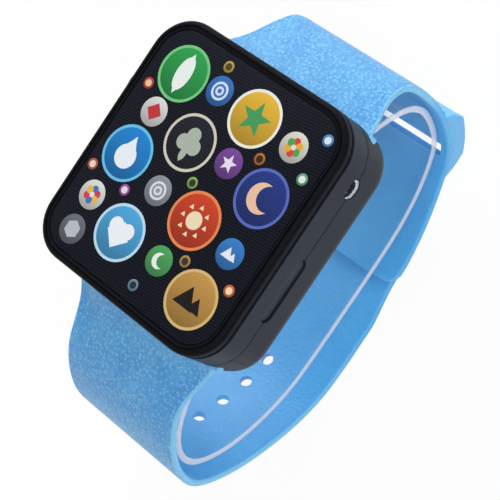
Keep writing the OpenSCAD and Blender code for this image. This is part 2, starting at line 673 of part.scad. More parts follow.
// The speaker faces the holes in the back
basket_h_share = 0.62;
basket_wall = 0.6;
basket_top = 0.5;
magnet_r_share = 0.55;
coil_r_share = 0.3;
cone_t = 0.3;
basket_h = basket_h_share * speaker_h;
module speaker_basket() {
    color("silver") translate([speaker_x, speaker_y, floor_z]) difference() {
        cylinder(d = speaker_d, h = basket_h);
        translate([0, 0, -over]) cylinder(r = speaker_d / 2 - basket_wall, h = basket_h - basket_top + over);
        cylinder(r = coil_r_share * speaker_d / 2, h = basket_h + over);
    }
}
module speaker_magnet() {
    color("gray") translate([speaker_x, speaker_y, floor_z + basket_h])
        cylinder(r = magnet_r_share * speaker_d / 2, h = speaker_h - basket_h);
}
module speaker_cone() {
    rim = speaker_d / 2 - basket_wall;
    coil = coil_r_share * speaker_d / 2 - seat_fit;
    top = basket_h - basket_top - seat_fit;
    color("black") translate([speaker_x, speaker_y, floor_z]) rotate_extrude() polygon([[0, top - cone_t],
        [coil, top - cone_t], [rim, 0], [rim, cone_t], [coil, top], [0, top]]);
}
// Two short leads from the basket up to the board
lead_wire_r = 0.35;
lead_sides = 12;
// Places along each lead: shares of the speaker's radius from its middle, and of the height to the board
lead_route_shares = [
    [[0.155, -0.72, 0], [0.155, -0.73, 0.25], [0.2, -0.79, 0.55], [0.19, -0.86, 0.8], [0.18, -0.87, 1]],
    [[-0.067, 0.72, 0], [-0.067, 0.73, 0.25], [-0.14, 0.72, 0.55], [-0.18, 0.68, 0.8], [-0.18, 0.67, 1]]];
lead_path_steps = 3;
module speaker_leads() {
    low = floor_z + basket_h;
    color("crimson") for (shares = lead_route_shares) {
        path = smooth([for (p = shares) [speaker_x + p[0] * speaker_d / 2, speaker_y + p[1] * speaker_d / 2,
            low + p[2] * (board_z - low)]], lead_path_steps);
        skin([for (p = path) [for (k = [0 : lead_sides - 1]) let (a = -360 * k / lead_sides)
            p + lead_wire_r * [cos(a), sin(a), 0]]]);
    }
}

// Cells lie side by side in the bay and are joined in a row by plates above and below
plate_t = 0.2;
plate_w = 4;
riser_w = 1.2;
cell_z = floor_z + cell_lift;
function cell_y(i) = (i - 1) * (cell_d + cell_gap);
cell_edge = 0.4;
cell_cap_share = 0.8;
// A cell is a wide can with a smaller cap on one face
module button_cell(i, cap_up) {
    color("silver") translate([bay_x, cell_y(i), cap_up ? cell_z : cell_z + cell_h]) mirror([0, 0, cap_up ? 0 : 1])
        union() {
            cylinder(d = cell_d, h = cell_h - cell_edge);
            cylinder(d = cell_cap_share * cell_d, h = cell_h);
        }
}
module button_cell_1() {
    button_cell(0, false);
}
module button_cell_2() {
    button_cell(1, true);
}
module button_cell_3() {
    button_cell(2, false);
}
roof_z = cell_z + cell_h;
positive_riser_y = cell_y(0) - plate_w / 2;
module positive_contact() {
    color("gold") {
        translate([bay_x - plate_w / 2, cell_y(0) - plate_w / 2, roof_z]) cube([plate_w, plate_w, plate_t]);
        translate([bay_x - riser_w / 2, positive_riser_y, roof_z]) cube([riser_w, plate_t, board_z - roof_z]);
    }
}
negative_riser_y = bay_l / 2 - contact_room / 2;
module negative_contact() {
    color("gold") {
        translate([bay_x - riser_w / 2, negative_riser_y, cell_z - plate_t]) cube([riser_w, plate_t, board_z - cell_z + plate_t]);
        translate([bay_x - riser_w / 2, cell_y(2), cell_z - plate_t]) cube([riser_w, negative_riser_y - cell_y(2) + plate_t,
            plate_t]);
    }
}
module cell_link() {
    color("gold") translate([bay_x - plate_w / 2, cell_y(1) - plate_w / 2, roof_z]) cube([plate_w, cell_y(2)
        - cell_y(1) + plate_w, plate_t]);
}
module door_link() {
    color("gold") translate([bay_x - plate_w / 2, cell_y(0) - plate_w / 2, cell_z - plate_t]) cube([plate_w, cell_y(1)
        - cell_y(0) + plate_w, plate_t]);
}

// The door closes the bay. A tongue beside the case's screw takes its screw.
module door_outline(fit) {
    translate([bay_x, 0]) round_rect(door_w + 2 * fit, door_l + 2 * fit, door_r + fit);
    translate([door_screw_x, door_screw_y]) circle(tongue_r + fit);
    translate([door_screw_x - tongue_r - fit, door_screw_y]) square([2 * (tongue_r + fit), -door_screw_y
        - door_l / 2 + door_r]);
}
module battery_door() {
    color("darkslategray") difference() {
        union() {
            translate([0, 0, back_z]) linear_extrude(door_t - seat_fit / 2) door_outline(0);
            translate([bay_x, 0, back_z + door_t / 2]) linear_extrude(floor_t - door_t / 2) square([bay_w
                - 2 * slide_fit, bay_l - 2 * slide_fit], center = true);
        }
        translate([door_screw_x, door_screw_y, back_z - over]) cylinder(r = door_screw_head_r + seat_fit,
            h = door_screw_head_h + over);
        translate([door_screw_x, door_screw_y, back_z - over]) cylinder(r = door_screw_r + seat_fit, h = floor_t
            + over);
    }
}
door_screw_head_r = 1.1;
door_screw_head_h = 0.4;
door_screw_r = 0.6;
door_screw_l = 2.6;
screw_cross_shares = [1.3, 0.28];
module screw(r, l, head_r, head_h) {
    difference() {
        cylinder(r = head_r, h = head_h);
        for (a = [0, 90]) rotate([0, 0, a]) cube([screw_cross_shares[0] * head_r, screw_cross_shares[1] * head_r,
            head_h], center = true);
    }
    translate([0, 0, head_h]) cylinder(r = r, h = l);
}
module door_screw() {
    color("silver") translate([door_screw_x, door_screw_y, back_z]) screw(door_screw_r, door_screw_l,
        door_screw_head_r, door_screw_head_h);
}
module case_screws() {
    color("silver") for (x = [-post_x, post_x]) for (y = [-post_y, post_y]) translate([x, y, back_z + screw_sink
        - screw_head_h]) screw(screw_r, part_z + screw_bite - back_z - screw_sink, screw_head_r, screw_head_h);
}

front_shell();
back_shell();
touch_frame();
screen_panel();
screen_dome();
side_button();
side_switch();
side_switch_plunger();
lamp_clear();
lamp_red();
strap_upper();
strap_lower();
display_collar();
circuit_board();
chip_blob();
board_resistors();
board_capacitors();
board_screws();
speaker_basket();
speaker_magnet();
speaker_cone();
speaker_leads();
button_cell_1();
button_cell_2();
button_cell_3();
positive_contact();
negative_contact();
cell_link();
door_link();
battery_door();
door_screw();
case_screws();
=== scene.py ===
import math

import bmesh
import bpy
from mathutils import Matrix, Vector


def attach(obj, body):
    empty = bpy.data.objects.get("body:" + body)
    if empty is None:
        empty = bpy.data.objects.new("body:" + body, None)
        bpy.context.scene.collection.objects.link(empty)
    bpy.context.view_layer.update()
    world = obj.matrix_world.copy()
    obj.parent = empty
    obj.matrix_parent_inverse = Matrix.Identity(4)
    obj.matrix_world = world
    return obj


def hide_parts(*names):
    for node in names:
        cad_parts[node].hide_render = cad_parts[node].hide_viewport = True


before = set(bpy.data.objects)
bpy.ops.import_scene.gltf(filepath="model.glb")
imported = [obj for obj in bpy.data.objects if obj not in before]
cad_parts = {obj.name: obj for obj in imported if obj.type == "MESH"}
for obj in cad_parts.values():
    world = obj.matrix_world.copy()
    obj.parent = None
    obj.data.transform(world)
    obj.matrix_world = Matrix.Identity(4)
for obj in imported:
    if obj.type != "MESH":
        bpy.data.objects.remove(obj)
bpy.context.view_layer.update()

# The watch's sizes are in millimetres, and MM takes them to Blender's metres
MM = 0.001

CASE_W, CASE_L, CASE_R = 38, 40.8, 6.4
FACE_Z = 51.15
RIM_H, RIM_W, RIM_ROUND = 1.7, 1.5, 0.7
PANEL_T, SEAT_FIT = 0.75, 0.1
PART_Z, BACK_Z, ROOT_Z = 44.15, 36.65, 43.4
SKIRT_H, SHELL_WALL, SLIDE_FIT = 1.2, 1.5, 0.2
END_Y = CASE_L / 2
STRAP_T, STRAP_W, ROOT_W, FLARE_L, TONGUE_W = 1.2, 24.2, 32.6, 12, 22
LOW_REACH, UP_REACH, LOOP_DROP = 39.5, 29.8, 42.8
LAP_L, LAP_GAP = 15, 0.25
HOLE_D, HOLE_PITCH, FREE_HOLES, FIRST_HOLE = 2.1, 5.4, 5, 38.5
KEEPER_AT, KEEPER_L, KEEPER_H, BRIDGE_T, KEEPER_WALL = 34, 13, 3.1, 1, 1.1
BRIDGE_START, BRIDGE_END = 31.1, 37.6
SLOT_AT, SLOT_W, SLOT_L = 35.5, 21.4, 3
CORNER_Y = 17.2
LAMP_R, LAMP_Y = 1.5, 12.2
COLLAR_W, COLLAR_T, COLLAR_REACH, COLLAR_RISE = 21, 1.1, 37, 8
# How far a cutter goes past what it cuts
OVER = 1


# Camera at the photograph's place, with the directions across, down and into the picture

CAMERA_PLACE = Vector((135.195, 13.714, 251.97))
ACROSS = Vector((0.69326001, 0.55451347, -0.46033181))
DOWN = Vector((0.50619969, -0.82931251, -0.23664876))
AHEAD = Vector((-0.51298385, -0.06896069, -0.85562374))
SENSOR_W, LENS = 36, 122.4


def set_camera():
    lens = bpy.data.cameras.new("camera")
    lens.sensor_fit = "HORIZONTAL"
    lens.sensor_width, lens.lens = SENSOR_W, LENS
    lens.clip_start, lens.clip_end = 0.01, 10
    camera = bpy.data.objects.new("camera", lens)
    bpy.context.scene.collection.objects.link(camera)
    turn = Matrix((ACROSS, -DOWN, -AHEAD)).transposed().to_4x4()
    camera.matrix_world = Matrix.Translation(CAMERA_PLACE * MM) @ turn
    bpy.context.scene.camera = camera


set_camera()


# Materials

def rgb(red, green, blue):
    """A colour as seen on screen, 0 to 255, as the linear colour that a shader takes."""
    def linear(level):
        share = level / 255
        return share / 12.92 if share <= 0.04045 else ((share + 0.055) / 1.055) ** 2.4
    return (linear(red), linear(green), linear(blue), 1)


class Amount:
    """A number that changes over a surface. Sums on amounts add the material's Math nodes."""

    def __init__(self, finish, socket):
        self.finish, self.socket = finish, socket

    def worked(self, operation, *parts):
        made = self.finish.node("ShaderNodeMath", {"operation": operation}, dict(enumerate(parts)))
        return Amount(self.finish, made.outputs[0])

    def __add__(self, other):
        return self.worked("ADD", self, other)

    __radd__ = __add__

    def __sub__(self, other):
        return self.worked("SUBTRACT", self, other)

    def __rsub__(self, other):
        return self.worked("SUBTRACT", other, self)

    def __mul__(self, other):
        return self.worked("MULTIPLY", self, other)

    __rmul__ = __mul__

    def __truediv__(self, other):
        return self.worked("DIVIDE", self, other)

    def __abs__(self):
        return self.worked("ABSOLUTE", self)

    def wave(self):
        return self.worked("SINE", self)

    def between(self, low, high):
        """Rises smoothly from 0 at low to 1 at high."""
        made = self.finish.node("ShaderNodeMapRange", {"interpolation_type": "SMOOTHSTEP"},
                                {"Value": self, "From Min": low, "From Max": high})
        return Amount(self.finish, made.outputs[0])


class Finish:
    """One material, or the world's light. node() adds each node, and the other names are short ways to it."""

    def __init__(self, name, world=None):
        self.material = world or bpy.data.materials.new(name)
        self.material.use_nodes = True
        self.tree = self.material.node_tree
        self.tree.nodes.clear()
        self.here = None if world else self.node("ShaderNodeTexCoord").outputs["Object"]

    def node(self, kind, settings=None, sockets=None):
        made = self.tree.nodes.new(kind)
        for name, value in (settings or {}).items():
            setattr(made, name, value)
        for name, value in (sockets or {}).items():
            if isinstance(value, Amount):
                value = value.socket
            if isinstance(value, bpy.types.NodeSocket):
                self.tree.links.new(value, made.inputs[name])
            else:
                made.inputs[name].default_value = value
        return made

    def axis(self, name):
        """The distance along X, Y or Z, in millimetres."""
        parts = self.node("ShaderNodeSeparateXYZ", None, {"Vector": self.here})
        return Amount(self, parts.outputs[name]) * (1 / MM)

    def stretched(self, x, y, z):
        """The surface's place with each axis multiplied, so that a pattern gets longer or shorter there."""
        return self.node("ShaderNodeMapping", {"vector_type": "TEXTURE"},
                         {"Vector": self.here, "Scale": (x, y, z)}).outputs[0]

    def noise(self, size, detail, where=None):
        """Cloudy noise, its spots about as wide as size."""
        made = self.node("ShaderNodeTexNoise", None, {"Vector": where or self.here, "Scale": 1 / (size * MM),
                                                      "Detail": detail, "Roughness": 0.55})
        return Amount(self, made.outputs[0])

    def pebbles(self, size):
        """Rounded cells: 0 in the middle of each, and more towards its borders."""
        made = self.node("ShaderNodeTexVoronoi", {"feature": "F1"},
                         {"Vector": self.here, "Scale": 1 / (size * MM), "Randomness": 1.0})
        return Amount(self, made.outputs["Distance"])

    def waves(self, distance, pitch):
        """Waves from -1 to 1 along a distance."""
        return (distance * (2 * math.pi / pitch)).wave()

    def marked(self, name):
        """An attribute of the piece: its number and its colour."""
        made = self.node("ShaderNodeAttribute", {"attribute_name": name})
        return Amount(self, made.outputs["Fac"]), made.outputs["Color"]

    def mix(self, share, first, second):
        """Two colours mixed: the first at a share of 0, the second at 1."""
        made = self.node("ShaderNodeMix", {"data_type": "RGBA"}, {0: share, 6: first, 7: second})
        return made.outputs[2]

    def relief(self, height, depth, strength):
        """Bumps as deep as depth where the height goes from 0 to 1."""
        return self.node("ShaderNodeBump", None,
                         {"Height": height, "Distance": depth * MM, "Strength": strength}).outputs[0]

    def seen(self):
        """1 for what the camera sees, straight, in a shine or through something clear, and 0 for light."""
        rays = self.node("ShaderNodeLightPath")
        straight, shine, through = [Amount(self, rays.outputs[name]) for name in
                                    ("Is Camera Ray", "Is Glossy Ray", "Is Transmission Ray")]
        return straight + shine + through

    def skin(self, colour, roughness, relief=None, **more):
        """The Principled shader and the output. Further sockets are given by name, _ for a space."""
        sockets = {"Base Color": colour, "Roughness": roughness}
        if relief is not None:
            sockets["Normal"] = relief
        sockets.update({name.replace("_", " "): value for name, value in more.items()})
        shader = self.node("ShaderNodeBsdfPrincipled", None, sockets)
        self.node("ShaderNodeOutputMaterial", None, {"Surface": shader.outputs[0]})
        return self.material


# The parting line runs a step higher between these two places along Y, next to the 12 o'clock corner
STEP_START, STEP_END, STEP_H = (15.6, 15.8), (17.2, 17.4), 0.25
SEAM_HALF = (0.18, 0.32)


def shell_plastic(name, light, dark, seam):
    """Moulded slate plastic: faint flow marks, a fine grain and, on the shells, a dark parting line."""
    f = Finish(name)
    flow = f.noise(7, detail=3)
    grain = f.noise(0.22, detail=2)
    colour = f.mix(flow.between(0.3, 0.7), rgb(*dark), rgb(*light))
    colour = f.mix(grain.between(0.58, 0.8) * 0.25, colour, rgb(78, 84, 94))
    height = grain * 0.5
    if seam:
        step = (f.axis("Y").between(*STEP_START) - f.axis("Y").between(*STEP_END)) * STEP_H
        line = 1 - abs(f.axis("Z") - step - PART_Z).between(*SEAM_HALF)
        colour = f.mix(line, colour, rgb(1, 1, 2))
        height = height - line * 2
    bumps = f.relief(height, depth=0.02, strength=0.6)
    return f.skin(colour, 0.36 + flow * 0.16, bumps, Specular_IOR_Level=0.14)


def rim_plastic():
    """Black satin rim: fine grain, a little glossier where fingers rub it."""
    f = Finish("black_rim")
    grain = f.noise(0.2, detail=2)
    rubbed = f.noise(9, detail=2)
    colour = f.mix(grain.between(0.5, 0.85) * 0.35, rgb(7, 8, 14), rgb(20, 23, 31))
    bumps = f.relief(grain, depth=0.015, strength=0.5)
    return f.skin(colour, 0.4 + rubbed * 0.16, bumps, Specular_IOR_Level=0.06)


# The lens ribs run at a slant, and finer dashes cross them
SLANT_COS, SLANT_SIN = 0.8, 0.6
RIB_PITCH, DASH_PITCH, DASH_SHIFT = 0.3, 0.52, 7


def screen_finish():
    """Printed sheet under fine slanting lens ribs. The print's colour is the piece's own ink."""
    f = Finish("screen_print")
    ink = f.marked("ink")[1]
    along = f.axis("X") * SLANT_COS + f.axis("Y") * SLANT_SIN
    across = f.axis("Y") * SLANT_COS - f.axis("X") * SLANT_SIN
    ribs = f.waves(along, RIB_PITCH) * 0.5 + 0.5
    dashes = (across * (2 * math.pi / DASH_PITCH) + along * DASH_SHIFT).wave() * 0.5 + 0.5
    lines = (ribs * dashes).between(0.25, 0.95)
    worn = f.noise(5, detail=2)
    colour = f.mix(lines * 0.12, ink, rgb(104, 108, 124))
    colour = f.mix((1 - lines) * 0.16, colour, rgb(8, 8, 12))
    bumps = f.relief(ribs, depth=0.012, strength=0.5)
    return f.skin(colour, 0.26 + worn * 0.14, bumps, Specular_IOR_Level=0.05)


def strap_rubber():
    """Soft blue rubber: a pebbled outer face, a smooth inner face, painted highlights on the pebble tops and
    along the edges, and painted shade between the pebbles.
    """
    f = Finish("blue_strap")
    outer = f.marked("outer")[0]
    # The edge mark holds the strength of the painted highlight at each point
    edge = f.marked("edge")[0]
    pebbles = f.pebbles(0.6)
    fine = f.pebbles(0.3)
    cloud = f.noise(6, detail=3)
    small = f.noise(0.9, detail=2)
    painted_gap_shade = pebbles.between(0.3, 0.75)
    rough = outer * 0.7 + 0.3
    colour = f.mix(cloud.between(0.3, 0.7), rgb(78, 166, 226), rgb(98, 184, 236))
    # Painted shade: the gaps between the pebbles are darkened, as if shade fell between them
    colour = f.mix(painted_gap_shade * rough * 0.4, colour, rgb(34, 126, 206))
    # Painted highlight: the pebble tops are lightened towards a whitish blue
    colour = f.mix((1 - pebbles.between(0.05, 0.35)) * rough * 0.5, colour, rgb(196, 236, 252))
    colour = f.mix((1 - outer) * 0.6, colour, rgb(86, 188, 255))
    # Painted highlight along the strap's edges, on the slot's far wall, the keeper and the pegs
    colour = f.mix(edge * 0.6, colour, rgb(150, 222, 255))
    height = (1 - pebbles) * rough + (1 - fine) * rough * 0.3 + small * 0.2
    bumps = f.relief(height, depth=0.24, strength=0.95)
    return f.skin(colour, 0.38 + small * 0.12, bumps, Specular_IOR_Level=0.6, Sheen_Weight=0.1,
                  Sheen_Roughness=0.35, Subsurface_Weight=0.12, Subsurface_Radius=(0.5, 0.8, 1.0),
                  Subsurface_Scale=1.5 * MM)


# How far in from its cut edges the clear sheet is drawn denser and whiter, with a painted highlight, and the
# bend where it is whitened
DENSITY_AND_HIGHLIGHT_IN, DENSITY_AND_HIGHLIGHT_END = 0.3, 0.05
BEND_Y, BEND_Z = (15, 20), (20, 27)


def clear_sheet():
    """Thin clear plastic with a faint bluish haze, white streaks at one bend, and denser cut edges whitened
    by a painted highlight.
    """
    f = Finish("clear_sheet")
    cut = abs(f.axis("X")).between(COLLAR_W / 2 - DENSITY_AND_HIGHLIGHT_IN, COLLAR_W / 2 - DENSITY_AND_HIGHLIGHT_END)
    haze = f.noise(8, detail=3)
    streak = f.noise(1.6, detail=3, where=f.stretched(6, 1, 1)).between(0.52, 0.75)
    bend = f.axis("Y").between(*BEND_Y) * f.axis("Z").between(*BEND_Z)
    # The cut edges are drawn more opaque, as the plastic reads denser there, and whiter as a painted
    # highlight
    colour = f.mix(cut, rgb(214, 222, 238), rgb(236, 238, 252))
    alpha = 0.01 + haze * 0.03 + streak * bend * 0.4 + bend * 0.1 + cut * 0.7
    bumps = f.relief(haze, depth=0.2, strength=0.4)
    return f.skin(colour, 0.1 + haze * 0.12, bumps, Alpha=alpha, Specular_IOR_Level=0.6)


def lamp_resin(name, light, dark, clear):
    """Cast lamp resin with a slight swirl. How much light goes through it is a share."""
    f = Finish(name)
    swirl = f.noise(1.2, detail=3)
    tone = f.mix(swirl.between(0.35, 0.65), rgb(*light), rgb(*dark))
    bumps = f.relief(swirl, depth=0.05, strength=0.4)
    return f.skin(tone, 0.05 + swirl * 0.06, bumps, Transmission_Weight=clear, IOR=1.5)


def metal(name, light, dark, roughness, size, draw):
    """Metal with duller patches and fine grain of a size, drawn out into lines along an axis."""
    f = Finish(name)
    lines = f.noise(size, detail=3, where=f.stretched(*draw))
    patch = f.noise(2.5, detail=2)
    colour = f.mix(lines.between(0.3, 0.75), rgb(*dark), rgb(*light))
    return f.skin(colour, roughness + patch * 0.15, f.relief(lines, depth=0.01, strength=0.5), Metallic=0.95)


def dull(name, light, dark, size, roughness, depth=0.03, **more):
    """A plain dull material with a mottled grain."""
    f = Finish(name)
    grain = f.noise(size, detail=3)
    wide = f.noise(size * 9, detail=2)
    colour = f.mix(grain.between(0.35, 0.7), rgb(*dark), rgb(*light))
    return f.skin(colour, roughness + wide * 0.12, f.relief(grain, depth=depth, strength=0.6), **more)


TRACK_PITCH_X, TRACK_PITCH_Y = 1.9, 2.3


def board_green():
    """Lacquered circuit board: paler copper tracks show through, along X in some patches and Y in others."""
    f = Finish("board_green")
    rows = (f.waves(f.axis("X"), TRACK_PITCH_X) - 0.82).between(0, 0.06)
    lines = (f.waves(f.axis("Y"), TRACK_PITCH_Y) - 0.86).between(0, 0.05)
    patch = f.noise(4, detail=1).between(0.46, 0.5)
    tracks = rows * patch + lines * (1 - patch)
    grain = f.noise(0.4, detail=2)
    colour = f.mix(grain * 0.5, rgb(20, 92, 48), rgb(28, 112, 60))
    colour = f.mix(tracks * 0.7, colour, rgb(92, 160, 80))
    return f.skin(colour, 0.3 + grain * 0.15, f.relief(tracks, depth=0.03, strength=0.6), Coat_Weight=0.3)


SLATE = shell_plastic("slate_shell", (37, 45, 57), (30, 37, 48), seam=True)
DOOR = shell_plastic("slate_door", (48, 54, 63), (39, 44, 52), seam=False)
BUTTON = shell_plastic("button_plastic", (54, 61, 70), (44, 50, 58), seam=False)
RIM = rim_plastic()
SCREEN = screen_finish()
STRAP = strap_rubber()
SHEET = clear_sheet()
# The clear lamp's resin is coloured nearly black, a painted shade for the dark hole it sits in
LAMP_PAINTED_DARK = lamp_resin("clear_lamp", (10, 11, 14), (4, 5, 7), clear=0.1)
RED_LAMP = lamp_resin("red_lamp", (222, 36, 34), (186, 18, 20), clear=0.55)
STEEL = metal("bright_steel", (206, 208, 212), (168, 171, 176), roughness=0.22, size=0.12, draw=(1, 1, 12))
CUP = metal("reflector_cup", (236, 238, 244), (120, 124, 134), roughness=0.14, size=0.35, draw=(1, 1, 1))
CELL = metal("cell_steel", (214, 215, 216), (182, 184, 187), roughness=0.2, size=0.2, draw=(14, 1, 1))
SPRING = metal("brass_spring", (214, 178, 96), (176, 138, 66), roughness=0.25, size=0.1, draw=(1, 12, 1))
MAGNET = metal("magnet", (118, 120, 124), (84, 86, 90), roughness=0.38, size=0.3, draw=(1, 1, 1))
DOME = dull("dome_rubber", (122, 124, 128), (98, 100, 104), size=0.4, roughness=0.6)
RESIN = dull("black_resin", (30, 30, 32), (16, 16, 18), size=0.7, roughness=0.25, Coat_Weight=0.3)
CERAMIC = dull("ceramic", (196, 172, 132), (164, 138, 98), size=0.15, roughness=0.5)
CONE = dull("cone_paper", (44, 42, 42), (26, 25, 26), size=0.25, roughness=0.75, depth=0.06)
LEAD = dull("wire_red", (198, 40, 38), (158, 22, 24), size=0.5, roughness=0.4)
BOARD = board_green()

NODE_FINISH = {
    "front_shell": SLATE, "back_shell": SLATE, "battery_door": DOOR, "touch_frame": RIM,
    "screen_panel": SCREEN, "screen_dome": DOME, "side_button": BUTTON, "side_switch": RESIN,
    "side_switch_plunger": CERAMIC, "lamp_clear": LAMP_PAINTED_DARK, "lamp_red": RED_LAMP,
    "strap_upper": STRAP, "strap_lower": STRAP, "display_collar": SHEET, "circuit_board": BOARD,
    "chip_blob": RESIN, "board_resistors": CERAMIC, "board_capacitors": CERAMIC, "board_screws": STEEL,
    "speaker_basket": STEEL, "speaker_magnet": MAGNET, "speaker_cone": CONE, "speaker_leads": LEAD,
    "button_cell_1": CELL, "button_cell_2": CELL, "button_cell_3": CELL, "positive_contact": SPRING,
    "negative_contact": SPRING, "cell_link": SPRING, "door_link": SPRING, "door_screw": STEEL,
    "case_screws": STEEL,
}


def dress_nodes():
    for name, material in NODE_FINISH.items():
        node = bpy.data.objects[name]
        if not node.material_slots:
            node.data.materials.append(material)
        for place in node.material_slots:
            place.material = material


dress_nodes()


# Hand tools

UPRIGHT_TURN, SIDEWAYS_TURN = (math.radians(90), 0, 0), (0, math.radians(90), 0)


def let_go():
    if bpy.context.object and bpy.context.object.mode != "OBJECT":
        bpy.ops.object.mode_set(mode="OBJECT")
    bpy.ops.object.select_all(action="DESELECT")


def take(piece):
    let_go()
    piece.select_set(True)
    bpy.context.view_layer.objects.active = piece


def named(name):
    piece = bpy.context.object
    piece.name = piece.data.name = name
    bpy.ops.object.transform_apply(location=True, rotation=True, scale=True)
    return piece


def block(name, size, middle):
    let_go()
    bpy.ops.mesh.primitive_cube_add(size=1, location=[v * MM for v in middle], scale=[v * MM for v in size])
    return named(name)


def disc(name, radius, height, middle, sides=32, turn=(0, 0, 0)):
    let_go()
    bpy.ops.mesh.primitive_cylinder_add(vertices=sides, radius=radius * MM, depth=height * MM,
                                        location=[v * MM for v in middle], rotation=turn)
    return named(name)


def edit(piece, kind, test):
    """Opens a piece in edit mode with the faces, edges or points chosen that pass the test."""
    take(piece)
    bpy.ops.object.mode_set(mode="EDIT")
    bpy.ops.mesh.select_mode(type=kind)
    bpy.ops.mesh.select_all(action="DESELECT")
    shape = bmesh.from_edit_mesh(piece.data)
    shape.normal_update()
    if kind == "FACE":
        for face in shape.faces:
            if test(face.calc_center_median() / MM, face.normal):
                face.select_set(True)
    elif kind == "EDGE":
        for edge in shape.edges:
            if test(edge.verts[0].co / MM, edge.verts[1].co / MM):
                edge.select_set(True)
    else:
        for point in shape.verts:
            if test(point.co / MM):
                point.select_set(True)
    bmesh.update_edit_mesh(piece.data)


def bevel(piece, width, steps, test):
    edit(piece, "EDGE", test)
    bpy.ops.mesh.bevel(offset=width * MM, segments=steps, profile=0.5, affect="EDGES")
    bpy.ops.object.mode_set(mode="OBJECT")


def steps_in(piece, test, steps):
    """Insets a face again and again: each step is how far in and how far up."""
    edit(piece, "FACE", test)
    for inward, upward in steps:
        bpy.ops.mesh.inset(thickness=inward * MM, depth=upward * MM)
    bpy.ops.object.mode_set(mode="OBJECT")


def pull(piece, test, way):
    """Extrudes the faces that pass the test."""
    edit(piece, "FACE", test)
    bpy.ops.mesh.extrude_region_move(TRANSFORM_OT_translate={"value": [v * MM for v in way]})
    bpy.ops.object.mode_set(mode="OBJECT")


def slice_at(piece, places, axis):
    """Cuts edge rings round a piece at places along X, Y or Z."""
    normal = [axis == "X", axis == "Y", axis == "Z"]
    take(piece)
    bpy.ops.object.mode_set(mode="EDIT")
    for place in places:
        bpy.ops.mesh.select_all(action="SELECT")
        bpy.ops.mesh.bisect(plane_co=[n * place * MM for n in normal], plane_no=normal)
    bpy.ops.object.mode_set(mode="OBJECT")


def scale_points(piece, test, scale, centre):
    edit(piece, "VERT", test)
    bpy.ops.transform.resize(value=scale, center_override=[v * MM for v in centre])
    bpy.ops.object.mode_set(mode="OBJECT")


def move_points(piece, test, way):
    edit(piece, "VERT", test)
    bpy.ops.transform.translate(value=[v * MM for v in way])
    bpy.ops.object.mode_set(mode="OBJECT")


def applied(piece, kind, **settings):
    take(piece)
    made = piece.modifiers.new("step", kind)
    for name, value in settings.items():
        setattr(made, name, value)
    bpy.ops.object.modifier_apply(modifier=made.name)


def cut(piece, cutter):
    applied(piece, "BOOLEAN", operation="DIFFERENCE", solver="EXACT", object=cutter)
    bpy.data.objects.remove(cutter)


def joined(first, others):
    take(first)
    for other in others:
        other.select_set(True)
    bpy.ops.object.join()
    return first


def finished(piece, material, body="case", replaces=(), angle=35):
    """Closes a piece's seams, turns its faces outwards, smooths it and gives it its finish and its body."""
    take(piece)
    bpy.ops.object.mode_set(mode="EDIT")
    bpy.ops.mesh.select_all(action="SELECT")
    bpy.ops.mesh.remove_doubles(threshold=1e-7)
    bpy.ops.mesh.normals_make_consistent(inside=False)
    bpy.ops.object.mode_set(mode="OBJECT")
    bpy.ops.object.shade_smooth_by_angle(angle=math.radians(angle))
    piece.data.materials.clear()
    piece.data.materials.append(material)
    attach(piece, body)
    if replaces:
        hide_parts(*replaces)
    return piece


def near(value, target, reach=0.01):
    return abs(value - target) < reach


def upright(a, b):
    return near(a.x, b.x) and near(a.y, b.y) and not near(a.z, b.z)


# The rim that presses down, and its printed panel

# The rim's top, as steps (how far in, how far up): a groove, a flat, and a lip that falls to the panel
LIP_DROP = 0.08
RIM_STEPS = [(0.1, 0), (0.06, -0.22), (0.13, 0), (0.06, 0.22), (0.16, 0), (LIP_DROP, -LIP_DROP), (0.21, 0)]
WALL_SKEW = 0.001
FOOT_ROUND = 0.2


def press_rim():
    top, foot = FACE_Z, FACE_Z - RIM_H
    piece = block("press_rim", (CASE_W, CASE_L, RIM_H), (0, 0, (top + foot) / 2))
    bevel(piece, CASE_R, 12, upright)
    bevel(piece, RIM_ROUND, 4, lambda a, b: near(a.z, top) and near(b.z, top))
    bevel(piece, FOOT_ROUND, 2, lambda a, b: near(a.z, foot) and near(b.z, foot))
    floor = -(PANEL_T + SEAT_FIT) + LIP_DROP
    steps_in(piece, lambda c, n: n.z > 0.9 and near(c.z, top), RIM_STEPS + [(WALL_SKEW, floor)])
    inset = SHELL_WALL + SLIDE_FIT - FOOT_ROUND
    steps_in(piece, lambda c, n: n.z < -0.9 and near(c.z, foot), [(inset, 0)])
    pull(piece, lambda c, n: n.z < -0.9 and near(c.z, foot) and abs(c.x) + abs(c.y) < 1, (0, 0, -SKIRT_H))
    return finished(piece, RIM, "touch", ["touch_frame"])


# Each layer of ink lies a hair above the one under it
PANEL_TOP = FACE_Z - SEAT_FIT
INK_STEP, INK_T = 0.012, 0.08


def inked(piece, colour, foot=None):
    """Prints a shape in one colour, or fading to another towards its 6 o'clock end."""
    heights = [point.co.y for point in piece.data.vertices]
    low, high = min(heights), max(heights)
    first, last = Vector(rgb(*colour)), Vector(rgb(*(foot or colour)))
    layer = piece.data.color_attributes.new("ink", "FLOAT_COLOR", "POINT")
    for point, y in zip(layer.data, heights):
        point.color = last.lerp(first, (y - low) / (high - low))
    return piece


def dot_sides(size):
    """A larger dot has more sides, so that its outline stays round."""
    return 40 if size > 3 else 24 if size > 1.2 else 14


